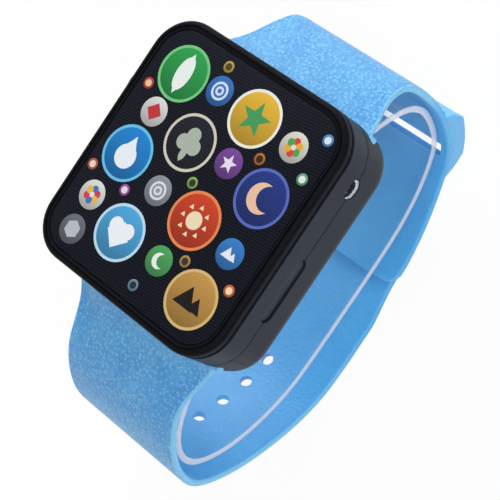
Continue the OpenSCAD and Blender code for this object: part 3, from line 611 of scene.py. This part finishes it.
def shape(kind, x, y, size, level):
    """One flat shape of the print, on a layer of its own."""
    z = PANEL_TOP + level * INK_STEP - INK_T / 2
    middle = (x, y, z)
    if kind == "dot":
        return disc("print", size, INK_T, middle, dot_sides(size))
    if kind == "star":
        piece = disc("print", size, INK_T, middle, 10)
        for bay in range(5):
            turn = math.radians(36 + 72 * bay)
            foot = (x + size * math.sin(turn), y + size * math.cos(turn))
            scale_points(piece, lambda p: math.hypot(p.x - foot[0], p.y - foot[1]) < 0.05, (0.42, 0.42, 1),
                         middle)
        return piece
    if kind == "leaf":
        piece = disc("print", size, INK_T, middle, 24)
        scale_points(piece, lambda p: True, (0.5, 1, 1), middle)
        scale_points(piece, lambda p: near(p.x, x), (1, 1.22, 1), middle)
        return piece
    if kind == "drop":
        piece = disc("print", size * 0.7, INK_T, (x, y - size * 0.2, z), 24)
        move_points(piece, lambda p: near(p.x, x) and p.y > y, (0, size * 0.55, 0))
        move_points(piece, lambda p: 0.02 < abs(p.x - x) < size * 0.25 and p.y > y, (0, size * 0.2, 0))
        return piece
    if kind == "moon":
        piece = disc("print", size * 0.85, INK_T, middle, 32)
        cut(piece, disc("cutter", size * 0.7, OVER, (x + size * 0.4, y + size * 0.15, z), 32))
        return piece
    if kind == "peak":
        return disc("print", size, INK_T, (x, y - size * 0.2, z), 3)
    return disc("print", size, INK_T, middle, 4 if kind == "square" else 6)


def spokes(count):
    """Directions spread evenly round a motif, from the top."""
    turns = [math.radians(360 / count * i) for i in range(count)]
    return [(math.sin(turn), math.cos(turn)) for turn in turns]


def motif(kind, x, y, size, colour, ground, level):
    """A plain everyday motif, as its flat shapes with their inks."""
    if kind == "sun":
        rays = spokes(8)
        return [inked(shape("dot", x, y, size * 0.5, level), colour)] + [
            inked(shape("peak", x + a * size * 0.8, y + b * size * 0.8, size * 0.17, level), colour)
            for a, b in rays]
    if kind == "flower":
        petals = spokes(6)
        return [inked(shape("dot", x + a * size * 0.62, y + b * size * 0.62, size * 0.42, level + 0.14 * i),
                      colour[i % len(colour)]) for i, (a, b) in enumerate(petals)] + [
            inked(shape("dot", x, y, size * 0.3, level + 1), ground)]
    if kind == "rings":
        return [inked(shape("dot", x, y, size * (1 - 0.25 * i), level + i), ground if i % 2 else colour)
                for i in range(4)]
    if kind == "clover":
        return [inked(shape("dot", x + a * size * 0.42, y + b * size * 0.42, size * 0.44, level + c), colour)
                for a, b, c in ((0, 1, 0), (-0.9, -0.3, 0.2), (0.9, -0.3, 0.4))] + [
            inked(shape("leaf", x, y - size * 0.66, size * 0.42, level + 0.6), colour)]
    if kind == "heart":
        lobe = size * 0.42
        return [inked(shape("dot", x - lobe, y + lobe * 0.6, lobe * 1.08, level), colour),
                inked(shape("dot", x + lobe, y + lobe * 0.6, lobe * 1.08, level + 0.25), colour),
                inked(shape("square", x, y - lobe * 0.35, lobe * 1.9, level + 0.5), colour)]
    if kind == "peaks":
        return [inked(shape("peak", x - size * 0.25, y, size * 0.8, level), colour),
                inked(shape("peak", x + size * 0.45, y - size * 0.12, size * 0.55, level + 0.5), colour)]
    return [inked(shape(kind, x, y, size, level), colour)]


# The print's badges: place, radius, ground, ring or none, motif and its ink or inks
BADGES = [
    (-11.2, 12.6, 4.4, (52, 166, 84), (120, 205, 130), "leaf", (240, 246, 240)),
    (3.4, 12.9, 4.4, (240, 190, 62), (244, 242, 232), "star", (74, 158, 92)),
    (-3.6, 4.9, 4.4, (36, 38, 46), (216, 210, 190), "clover", (176, 186, 170)),
    (11.6, 4.2, 4.4, (44, 62, 136), (92, 110, 190), "moon", (240, 196, 164)),
    (-11.8, -1.6, 4.4, (40, 138, 214), (110, 196, 236), "drop", (240, 246, 250)),
    (4.4, -3.8, 4.4, (214, 72, 42), (238, 140, 84), "sun", (244, 226, 190)),
    (-5.2, -11.6, 4.4, (84, 174, 226), (196, 226, 242), "heart", (244, 248, 252)),
    (11.2, -13.0, 4.4, (204, 154, 78), (222, 186, 120), "peaks", (30, 26, 24)),
    (-4.2, 13.4, 2.3, (60, 120, 196), None, "rings", (222, 232, 244)),
    (11.4, 12.6, 2.3, (232, 228, 214), None, "flower", ((226, 70, 60), (240, 176, 50), (80, 170, 90))),
    (3.9, 5.6, 2.3, (128, 78, 158), None, "star", (236, 226, 244)),
    (-11.9, 5.6, 2.3, (230, 230, 226), None, "square", (196, 60, 62)),
    (-3.6, -3.4, 2.3, (150, 154, 160), None, "rings", (226, 228, 232)),
    (12.4, -4.6, 2.3, (62, 132, 206), None, "peaks", (236, 240, 246)),
    (-13.0, -9.6, 2.3, (234, 232, 226), None, "flower", ((70, 120, 200), (210, 70, 90), (240, 190, 70))),
    (3.2, -11.4, 2.3, (84, 172, 96), None, "moon", (240, 244, 236)),
    (-12.6, -15.4, 2.3, (112, 116, 124), None, "hex", (190, 194, 200)),
    (-15.6, 8.6, 0.9, (196, 80, 60), None, "dot", (240, 200, 160)),
    (-5.2, 17.0, 0.9, (200, 170, 90), None, "dot", (90, 70, 40)),
    (15.4, 16.0, 0.9, (90, 150, 210), None, "dot", (220, 236, 246)),
    (7.8, 8.6, 0.9, (200, 120, 60), None, "dot", (60, 40, 36)),
    (6.9, -9.2, 0.9, (190, 150, 80), None, "dot", (60, 56, 50)),
    (0.6, 0.4, 0.9, (150, 190, 90), None, "dot", (50, 60, 40)),
    (-8.6, -6.2, 0.9, (170, 90, 170), None, "dot", (240, 220, 240)),
    (1.8, -16.4, 0.9, (120, 150, 170), None, "dot", (40, 50, 60)),
    (15.6, -8.8, 0.9, (220, 110, 60), None, "dot", (250, 220, 180)),
    (15.4, 9.6, 0.9, (110, 180, 130), None, "dot", (230, 240, 230)),
    (-16.0, -5.9, 0.9, (200, 100, 80), None, "dot", (244, 220, 200)),
]


PANEL_ROUND = 0.08
PANEL_INK = (13, 15, 25)
RING_IN, MOTIF_SHARE, FADE = 0.9, 0.62, 0.72


def printed_panel():
    half_w, half_l = CASE_W / 2 - RIM_W - SEAT_FIT, CASE_L / 2 - RIM_W - SEAT_FIT
    panel = block("printed_panel", (2 * half_w, 2 * half_l, PANEL_T), (0, 0, PANEL_TOP - PANEL_T / 2))
    bevel(panel, CASE_R - RIM_W - SEAT_FIT, 10, upright)
    bevel(panel, PANEL_ROUND, 2, lambda a, b: near(a.z, PANEL_TOP) and near(b.z, PANEL_TOP))
    inked(panel, PANEL_INK)
    prints = []
    for x, y, radius, ground, ring, kind, colour in BADGES:
        level = 1
        if ring:
            prints.append(inked(shape("dot", x, y, radius, level), ring))
            level += 1
        foot = tuple(round(v * FADE) for v in ground)
        prints.append(inked(shape("dot", x, y, radius * (RING_IN if ring else 1), level), ground, foot))
        prints += motif(kind, x, y, radius * MOTIF_SHARE, colour, ground, level + 1)
    joined(panel, prints)
    return finished(panel, SCREEN, "touch", ["screen_panel"])


# The strap's path, from the case down and round to the lap

def mid_curve(a, b, c, d, t):
    """The curve from b to c that passes smoothly through all four points."""
    return (2 * b + (c - a) * t + (2 * a - 5 * b + 4 * c - d) * t * t + (3 * b - a - 3 * c + d) * t ** 3) / 2


def smooth(points, steps=8):
    last = len(points) - 1
    made = [mid_curve(points[max(i - 1, 0)], points[i], points[i + 1], points[min(i + 2, last)], k / steps)
            for i in range(last) for k in range(steps)]
    return made + [points[-1]]


PROBE = 0.4


class Route:
    """A path seen from the side, as (Y, Z) points, with places found by the distance along it."""

    def __init__(self, points):
        self.points = points
        self.runs = [0]
        for a, b in zip(points, points[1:]):
            self.runs.append(self.runs[-1] + (b - a).length)
        self.length = self.runs[-1]

    def place(self, run):
        run = max(0, min(self.length, run))
        for i in range(1, len(self.runs)):
            if run <= self.runs[i]:
                share = (run - self.runs[i - 1]) / max(self.runs[i] - self.runs[i - 1], 1e-9)
                return self.points[i - 1].lerp(self.points[i], share)
        return self.points[-1]

    def left(self, run):
        """The direction to the left of the path at a place."""
        ahead = (self.place(run + PROBE) - self.place(run - PROBE)).normalized()
        return Vector((-ahead.y, ahead.x))


# A share of 0 lies at the case's end wall, 1 at the loop's furthest reach and at its bottom
LOW_SHARES = [(0, 0), (0.04, 0.007), (0.099, 0.045), (0.222, 0.084), (0.383, 0.118), (0.536, 0.158),
              (0.668, 0.208), (0.791, 0.272), (0.919, 0.368), (0.995, 0.484), (0.97, 0.575), (0.864, 0.67),
              (0.699, 0.766), (0.47, 0.859), (0.211, 0.937), (-0.084, 0.987), (-0.394, 1), (-0.66, 1),
              (-0.926, 1), (-1.138, 1)]
UP_SHARES = [(0, 0), (0.082, 0.007), (0.18, 0.039), (0.389, 0.079), (0.602, 0.118), (0.788, 0.165),
             (0.939, 0.226), (0.995, 0.319), (0.968, 0.465), (0.84, 0.592), (0.619, 0.699), (0.375, 0.762),
             (0.106, 0.804), (-0.253, 0.85), (-0.612, 0.89), (-1.031, 0.926), (-1.383, 0.948),
             (-1.681, 0.958), (-1.925, 0.962)]


def on_loop(share, reach):
    return Vector((END_Y + share[0] * (reach - END_Y), ROOT_Z - share[1] * LOOP_DROP))


UP = Route(smooth([on_loop(share, UP_REACH) for share in UP_SHARES]))


def over_lap(back):
    """The tongue's place over the upper half, at a distance back from that half's end."""
    run = UP.length - back
    return UP.place(run) + UP.left(run) * (STRAP_T + LAP_GAP)


LAP_SHARES = (0.22, 0.48, 0.74, 1)
LOW_LOOP = [on_loop(share, LOW_REACH) for share in LOW_SHARES]
LOW = Route(smooth([Vector((-point.x, point.y)) for point in LOW_LOOP]
                   + [over_lap(share * LAP_L) for share in LAP_SHARES]))

COLLAR_SHARES = [(-0.497, 0), (-0.583, 0.003), (-0.722, 0.035), (-0.837, 0.112), (-0.937, 0.234),
                 (-0.988, 0.385), (-0.978, 0.549), (-0.889, 0.727), (-0.75, 0.867), (-0.569, 0.965),
                 (-0.389, 0.993), (-0.111, 0.998), (0.143, 0.997), (0.358, 0.986), (0.513, 0.958),
                 (0.65, 0.913), (0.775, 0.85), (0.868, 0.78), (0.928, 0.685), (0.967, 0.566),
                 (0.986, 0.455), (0.978, 0.365), (0.942, 0.275), (0.864, 0.185), (0.76, 0.1),
                 (0.65, 0.032), (0.545, 0)]
COLLAR_GAP = 0.35
COLLAR_TOP = BACK_Z - COLLAR_GAP - COLLAR_T / 2
COLLAR_LOW = COLLAR_RISE + COLLAR_T / 2
COLLAR_UP = UP_REACH - STRAP_T / 2 - COLLAR_GAP - COLLAR_T / 2
COLLAR = Route(smooth([Vector((across * (COLLAR_REACH if across < 0 else COLLAR_UP),
                               COLLAR_TOP + down * (COLLAR_LOW - COLLAR_TOP)))
                       for across, down in COLLAR_SHARES]))


def bent(piece, route):
    """Lays a flat piece along a route: its X runs along the route, and its Z goes across the wrist."""
    line = bpy.data.curves.new("bend", "CURVE")
    line.dimensions = "2D"
    line.use_stretch = line.use_deform_bounds = False
    spline = line.splines.new("POLY")
    spline.points.add(len(route.points) - 1)
    for point, place in zip(spline.points, route.points):
        point.co = (place.x * MM, place.y * MM, 0, 1)
    guide = bpy.data.objects.new("bend", line)
    bpy.context.scene.collection.objects.link(guide)
    bpy.context.view_layer.update()
    applied(piece, "CURVE", object=guide, deform_axis="POS_X")
    bpy.data.objects.remove(guide)
    piece.rotation_euler = (math.radians(90), 0, math.radians(90))
    bpy.ops.object.transform_apply(location=True, rotation=True, scale=True)
    return piece


def eased(share):
    share = max(0, min(1, share))
    return share * share * (3 - 2 * share)


def flared(run):
    """Half the strap's width, which flares towards the case."""
    left = 1 - max(0, min(1, run / FLARE_L))
    return (STRAP_W + (ROOT_W - STRAP_W) * left * left) / 2


def rounded(half, radius, left):
    """Half the width near a rounded end, where left is the way that is left to the end."""
    return half if left >= radius else half - radius + math.sqrt(max(0, radius ** 2 - (radius - left) ** 2))


TIP_SHARE, UP_END_SHARE = 0.906, 0.25
TIP_R = TIP_SHARE * TONGUE_W / 2
UP_END_R = UP_END_SHARE * STRAP_W / 2
TAPER_L = 9


def low_half(run):
    start = LOW.length - LAP_L - TAPER_L
    return rounded(flared(run) + (TONGUE_W - STRAP_W) / 2 * eased((run - start) / TAPER_L), TIP_R,
                   LOW.length - run)


def up_half(run):
    return rounded(flared(run), UP_END_R, UP.length - run)


# Near the case the strap's edges hang lower than its middle, in bands across it, as shares of half its width
EDGE_HANG, HANG_L, LEAST_HANG, FLAT_SHARE = 2.0, 13, 0.02, 0.5
HANG_SHARES = (0.45, 0.57, 0.7, 0.82, 0.92, 1.1)
LONG_CUT_SHARES = (0.25, 0.5, 0.63, 0.76, 0.88)
# The strap reaches into the case with its wide root, and behind that with a narrower tab
TAB_IN, TAB_W, ROOT_IN, ROOT_STEP, SEAT_IN = 6.9, 25.6, 2.6, 0.2, 1.2
STRAP_ROUND, STATION_GAP = 0.4, 1.1
# The pebbled face starts this far past the flat edge, and the painted highlight along the edges is this wide
OUTER_IN, HIGHLIGHT_BAND = 0.15, 0.35
LEAST_W, RING_REACH = 0.02, 0.02
TIP_TURN, TIP_STEPS = math.radians(6), 15
EDGE_HIGHLIGHT_LOSS = 0.9


def mark_strap(piece, outer, edge):
    """Marks how much each point is on the pebbled outer face, and how much painted highlight it gets at the
    edges.
    """
    for name, values in (("outer", outer), ("edge", edge)):
        layer = piece.data.attributes.new(name, "FLOAT", "POINT")
        for mark, value in zip(layer.data, values):
            mark.value = value


def painted_edge_highlight(start, length):
    """A painted highlight on the edges, strongest near the case, that loses most of its strength over a
    length.
    """
    return lambda run: 1 - EDGE_HIGHLIGHT_LOSS * eased((run - start) / length)


def hang_edges(blank, place, width, out):
    """Lowers a ring's edge points, more towards its ends."""
    hang = EDGE_HANG * (1 - eased(max(place, 0) / HANG_L))
    if hang <= LEAST_HANG:
        return
    for low, high in zip(HANG_SHARES, HANG_SHARES[1:]):
        share = eased(((low + min(high, 1)) / 2 - FLAT_SHARE) / (1 - FLAT_SHARE))
        move_points(blank, lambda p: near(p.x, place, RING_REACH) and low * width < abs(p.z) <= high * width,
                    (0, -out * hang * share, 0))


def strap_blank(name, route, half, out, tip_r, edge_highlight):
    """A strap half laid flat: X along it from the case, Z across, its outer face on the out side of Y. half
    gives half its width at a distance along it, and edge_highlight the strength of the painted highlight on
    its edges there."""
    total, half_w = route.length, STRAP_W / 2
    blank = block(name, (total + TAB_IN, STRAP_T, STRAP_W), ((total - TAB_IN) / 2, 0, 0))
    bevel(blank, STRAP_ROUND, 3, lambda a, b: abs(a.x - b.x) > total)
    tip = [total - tip_r * (1 - math.sin(TIP_TURN * i)) for i in range(TIP_STEPS)]
    count = round((total - tip_r) / STATION_GAP)
    places = [-ROOT_IN - ROOT_STEP, -ROOT_IN, -SEAT_IN, 0]
    places += [i * (total - tip_r) / count for i in range(1, count)] + tip
    slice_at(blank, places, "X")
    slice_at(blank, [side * half_w * share for side in (-1, 1) for share in LONG_CUT_SHARES], "Z")
    flat_y = STRAP_T / 2 - STRAP_ROUND + OUTER_IN
    points = [point.co / MM for point in blank.data.vertices]
    mark_strap(blank, [float(out * p.y > flat_y) for p in points],
               [edge_highlight(p.x) * (abs(p.z) > half_w - HIGHLIGHT_BAND) for p in points])
    for place in [-TAB_IN] + places + [total]:
        in_tab = place < -ROOT_IN - ROOT_STEP / 2
        width = TAB_W / 2 if in_tab else half(place)
        grow = max(width, LEAST_W) / half_w
        if not near(grow, 1, 1e-4):
            scale_points(blank, lambda p: near(p.x, place, RING_REACH), (1, 1, grow), (place, 0, 0))
        if not in_tab:
            hang_edges(blank, place, width, out)
    return blank


def punched(piece, places):
    """Punches round holes through the strap."""
    for place in places:
        cut(piece, disc("punch", HOLE_D / 2, 4 * STRAP_T, (place, 0, 0), 28, UPRIGHT_TURN))


# How far the pegs stand from the upper half's end
PEG_BACKS = (5, 5 + HOLE_PITCH)
SEARCH_STEPS = 400


def lap_holes():
    """The tongue's holes that the pegs fill, as distances along it, found by a search for the nearest."""
    runs = [LOW.length - i * 2 * LAP_L / SEARCH_STEPS for i in range(SEARCH_STEPS + 1)]
    return [min(runs, key=lambda run: (LOW.place(run) - over_lap(back)).length) for back in PEG_BACKS]


def lower_strap():
    blank = strap_blank("strap_tongue_half", LOW, low_half, -1, TIP_R, painted_edge_highlight(52, 26))
    punched(blank, [FIRST_HOLE + i * HOLE_PITCH for i in range(FREE_HOLES)] + lap_holes())
    return finished(bent(blank, LOW), STRAP, "case", ["strap_lower"], 50)


SLOT_ROUND = 0.6
# How strong the painted highlight is on the slot's far wall, the keeper and the pegs, as shares
SLOT_HIGHLIGHT, KEEPER_HIGHLIGHT, PEG_HIGHLIGHT = 0.4, 0.3, 0.5


def upper_strap():
    blank = strap_blank("strap_keeper_half", UP, up_half, 1, UP_END_R, painted_edge_highlight(17, 10))
    slot = block("slot", (SLOT_L, 4 * STRAP_T, SLOT_W), (SLOT_AT, 0, 0))
    bevel(slot, SLOT_ROUND, 3, lambda a, b: near(a.x, b.x) and near(a.z, b.z))
    cut(blank, slot)
    # The slot's far wall, which lies in shade, gets a painted highlight
    for point, mark in zip(blank.data.vertices, blank.data.attributes["edge"].data):
        if near(point.co.x / MM, SLOT_AT + SLOT_L / 2) and abs(point.co.z) / MM < SLOT_W / 2 + 0.1:
            mark.value = SLOT_HIGHLIGHT
    return finished(bent(blank, UP), STRAP, "case", ["strap_upper"], 50)


# Each end of the keeper rises in two ramps, and where they meet these shares of its height are missing
RAMP_L, START_MID, END_MID = 1.2, 3.4, 3
START_DIP_SHARE, END_DIP_SHARE = 0.52, 0.55
KEEPER_SINK, RAMP_TOE, KEEPER_ROUND = 0.3, 0.4, 0.25
TUNNEL_ROUND, MOUTH_ROUND = 0.5, 0.4
KEEPER_CUT_SHARES = (0.38, 0.48, 0.58, 0.68)


def keeper_loop():
    """The raised loop that the tongue goes through: two walls with ramps, and a bridge."""
    foot = STRAP_T / 2 - KEEPER_SINK
    top = STRAP_T / 2 + KEEPER_H
    start, end = KEEPER_AT - KEEPER_L / 2, KEEPER_AT + KEEPER_L / 2
    loop = block("keeper_loop", (KEEPER_L, top - foot, STRAP_W), (KEEPER_AT, (top + foot) / 2, 0))
    slice_at(loop, [start + RAMP_L, start + START_MID, end - END_MID, end - RAMP_L], "X")
    drops = [(start, top - foot - RAMP_TOE), (end, top - foot - RAMP_TOE),
             (start + RAMP_L, KEEPER_H * START_DIP_SHARE), (end - RAMP_L, KEEPER_H * END_DIP_SHARE)]
    for place, drop in drops:
        move_points(loop, lambda p: near(p.x, place) and near(p.y, top), (0, -drop, 0))
    bevel(loop, KEEPER_ROUND, 2, lambda a, b: min(a.y, b.y) > foot + RAMP_TOE / 2
          and near(abs(a.z), STRAP_W / 2) and near(a.z, b.z))
    room = STRAP_W - 2 * KEEPER_WALL
    tunnel = block("tunnel", (3 * KEEPER_L, 2 * (KEEPER_H - BRIDGE_T), room), (KEEPER_AT, STRAP_T / 2, 0))
    bevel(tunnel, TUNNEL_ROUND, 3, lambda a, b: abs(a.x - b.x) > KEEPER_L)
    cut(loop, tunnel)
    for place, length in ((start, 2 * (BRIDGE_START - start)), (end, 2 * (end - BRIDGE_END))):
        mouth = block("mouth", (length, 4 * KEEPER_H, room), (place, STRAP_T / 2, 0))
        bevel(mouth, MOUTH_ROUND, 3, lambda a, b: near(a.x, b.x) and near(a.z, b.z))
        cut(loop, mouth)
    slice_at(loop, [start + KEEPER_L * share for share in KEEPER_CUT_SHARES], "X")
    count = len(loop.data.vertices)
    # The whole keeper gets a painted highlight
    mark_strap(loop, [0.0] * count, [KEEPER_HIGHLIGHT] * count)
    return finished(bent(loop, UP), STRAP, "case", (), 40)


# A peg's mushroom head, as steps (how far in, how far up)
PEG_SLACK, PEG_SINK = 0.1, 0.1
PEG_HEAD = [(0.02, 0), (0.02, 0.12), (0.25, 0.08), (0.3, 0.03)]


def pegs():
    """Two pegs with mushroom heads that fill the tongue's last holes."""
    made = []
    height = LAP_GAP + STRAP_T
    for back in PEG_BACKS:
        middle = (UP.length - back, STRAP_T / 2 + (height - PEG_SINK) / 2, 0)
        peg = disc("peg", HOLE_D / 2 - PEG_SLACK, height + PEG_SINK, middle, 24, UPRIGHT_TURN)
        steps_in(peg, lambda c, n: n.y > 0.9 and c.y > STRAP_T, PEG_HEAD)
        made.append(peg)
    both = joined(made[0], made[1:])
    both.name = "strap_pegs"
    count = len(both.data.vertices)
    # The pegs get a painted highlight
    mark_strap(both, [0.0] * count, [PEG_HIGHLIGHT] * count)
    return finished(bent(both, UP), STRAP, "case", (), 40)


COLLAR_CORNER, COLLAR_ROUND, COLLAR_RINGS = 2.5, 0.12, 110


def clear_collar():
    """A springy strip inside the loop, its two ends under the case."""
    total = COLLAR.length
    strip = block("clear_collar", (total, COLLAR_T, COLLAR_W), (total / 2, 0, 0))
    bevel(strip, COLLAR_CORNER, 6, lambda a, b: near(a.x, b.x) and near(a.z, b.z))
    bevel(strip, COLLAR_ROUND, 2, lambda a, b: near(abs(a.y), COLLAR_T / 2) and near(a.y, b.y))
    slice_at(strip, [i * total / COLLAR_RINGS for i in range(1, COLLAR_RINGS)], "X")
    return finished(bent(strip, COLLAR), SHEET, "collar", ["display_collar"], 40)


def rounded_plate(name, width, length, radius, low, high):
    plate = block(name, (width, length, high - low), (0, 0, (low + high) / 2))
    bevel(plate, radius, 12, upright)
    return plate


# The lips stand this proud of the wall, and go this far down from the strap's root
PROUD, LIP_DEPTH = 0.02, 3.6


def slot_cheeks(strap, side):
    """The end wall's lips that close over the strap's hanging edges, cut to the strap's own shape."""
    low, high = ROOT_Z - LIP_DEPTH, PART_Z
    lips = rounded_plate("slot_cheeks", CASE_W + 2 * PROUD, CASE_L + 2 * PROUD, CASE_R + PROUD, low, high)
    cut(lips, rounded_plate("inner", CASE_W - 2 * SHELL_WALL, CASE_L - 2 * SHELL_WALL, CASE_R - SHELL_WALL,
                            low - OVER, high + OVER))
    cut(lips, block("rest", (2 * CASE_W, 2 * CASE_L, CASE_L / 2), (0, side * (CORNER_Y - CASE_L), ROOT_Z)))
    copy = strap.copy()
    copy.data = strap.data.copy()
    bpy.context.scene.collection.objects.link(copy)
    cut(lips, copy)
    lips.name = "slot_cheeks_12" if side > 0 else "slot_cheeks_6"
    return finished(lips, SLATE, "case", (), 30)


# The lamp's ends, as steps (how far in, how far up), and the lip of the reflector cup round its front
LAMP_L, LAMP_BACK = 5, 4
LAMP_NOSE = [(0.2, 0.12), (0.35, 0.14), (0.4, 0.08)]
LAMP_FOOT = [(0.2, -0.1), (0.2, 0)]
LIP_BACK, LIP_L, LIP_WIDER, LIP_ROUND = 0.68, 1.2, 0.08, 0.08
MOUTH_SHARE, MOUTH_Y, MOUTH_Z = 0.86, -0.12, 0.6


def clear_lamp():
    """A small bullet lamp set back in its hole, its clear resin coloured nearly black as painted shade, with
    the bright lip of its reflector cup.
    """
    side = CASE_W / 2
    body = disc("lamp_body", LAMP_R, LAMP_L, (side - LAMP_BACK, LAMP_Y, PART_Z), 32, SIDEWAYS_TURN)
    steps_in(body, lambda c, n: n.x > 0.9, LAMP_NOSE)
    steps_in(body, lambda c, n: n.x < -0.9, LAMP_FOOT)
    finished(body, LAMP_PAINTED_DARK, "case", ["lamp_clear"], 60)
    middle = Vector((side - LIP_BACK, LAMP_Y, PART_Z))
    lip = disc("reflector_lip", LAMP_R + LIP_WIDER, LIP_L, middle, 40, SIDEWAYS_TURN)
    mouth = middle + Vector((0, MOUTH_Y, MOUTH_Z))
    cut(lip, disc("cutter", LAMP_R * MOUTH_SHARE, 3 * LIP_L, mouth, 40, SIDEWAYS_TURN))
    bevel(lip, LIP_ROUND, 2, lambda a, b: min(a.x, b.x) > side - LIP_BACK / 2)
    finished(lip, CUP, "case", (), 50)


press_rim()
printed_panel()
slot_cheeks(lower_strap(), -1)
slot_cheeks(upper_strap(), 1)
clear_lamp()
keeper_loop()
pegs()
clear_collar()


# Studio: a white floor that keeps the shadow, and soft lamps

# The floor looks almost white by itself, and the rest of its look is its own grey with the shadow on it
FLOOR_W, FLOOR_DROP, WHITE_SHARE = 3000, 0.05, 0.95


def studio_floor():
    let_go()
    bpy.ops.mesh.primitive_plane_add(size=FLOOR_W * MM, location=(0, 0, -FLOOR_DROP * MM))
    floor = named("floor")
    f = Finish("white_floor")
    paper = f.noise(4, detail=2)
    grey = f.mix(paper * 0.1, rgb(240, 240, 240), rgb(228, 228, 228))
    plain = f.node("ShaderNodeBsdfDiffuse", None, {"Color": grey})
    glow = f.node("ShaderNodeEmission", None, {"Color": (1, 1, 1, 1), "Strength": 1.0})
    both = f.node("ShaderNodeMixShader", None,
                  {0: f.seen() * WHITE_SHARE, 1: plain.outputs[0], 2: glow.outputs[0]})
    f.node("ShaderNodeOutputMaterial", None, {"Surface": both.outputs[0]})
    floor.data.materials.append(f.material)


AIM = Vector((0, 0, 0.03))


def lamp(name, size, power, place):
    """A square soft lamp, in metres and watts, that faces the watch."""
    data = bpy.data.lights.new(name, "AREA")
    data.shape, data.size, data.energy = "SQUARE", size, power
    made = bpy.data.objects.new(name, data)
    made.location = place
    made.rotation_euler = (AIM - Vector(place)).to_track_quat("-Z", "Y").to_euler()
    bpy.context.scene.collection.objects.link(made)


def studio_world():
    world = bpy.data.worlds.new("studio")
    bpy.context.scene.world = world
    f = Finish("studio", world)
    fill = f.node("ShaderNodeBackground", None, {"Color": (0.92, 0.96, 1, 1), "Strength": 0.48})
    white = f.node("ShaderNodeBackground", None, {"Color": (1, 1, 1, 1)})
    both = f.node("ShaderNodeMixShader", None, {0: f.seen(), 1: fill.outputs[0], 2: white.outputs[0]})
    f.node("ShaderNodeOutputWorld", None, {"Surface": both.outputs[0]})


studio_floor()
studio_world()
lamp("key", size=0.5, power=2.7, place=(-0.26, 0.44, 0.36))
lamp("front", size=0.4, power=1.15, place=(0.32, -0.06, 0.46))

bpy.context.scene.view_settings.view_transform = "Standard"

let_go()
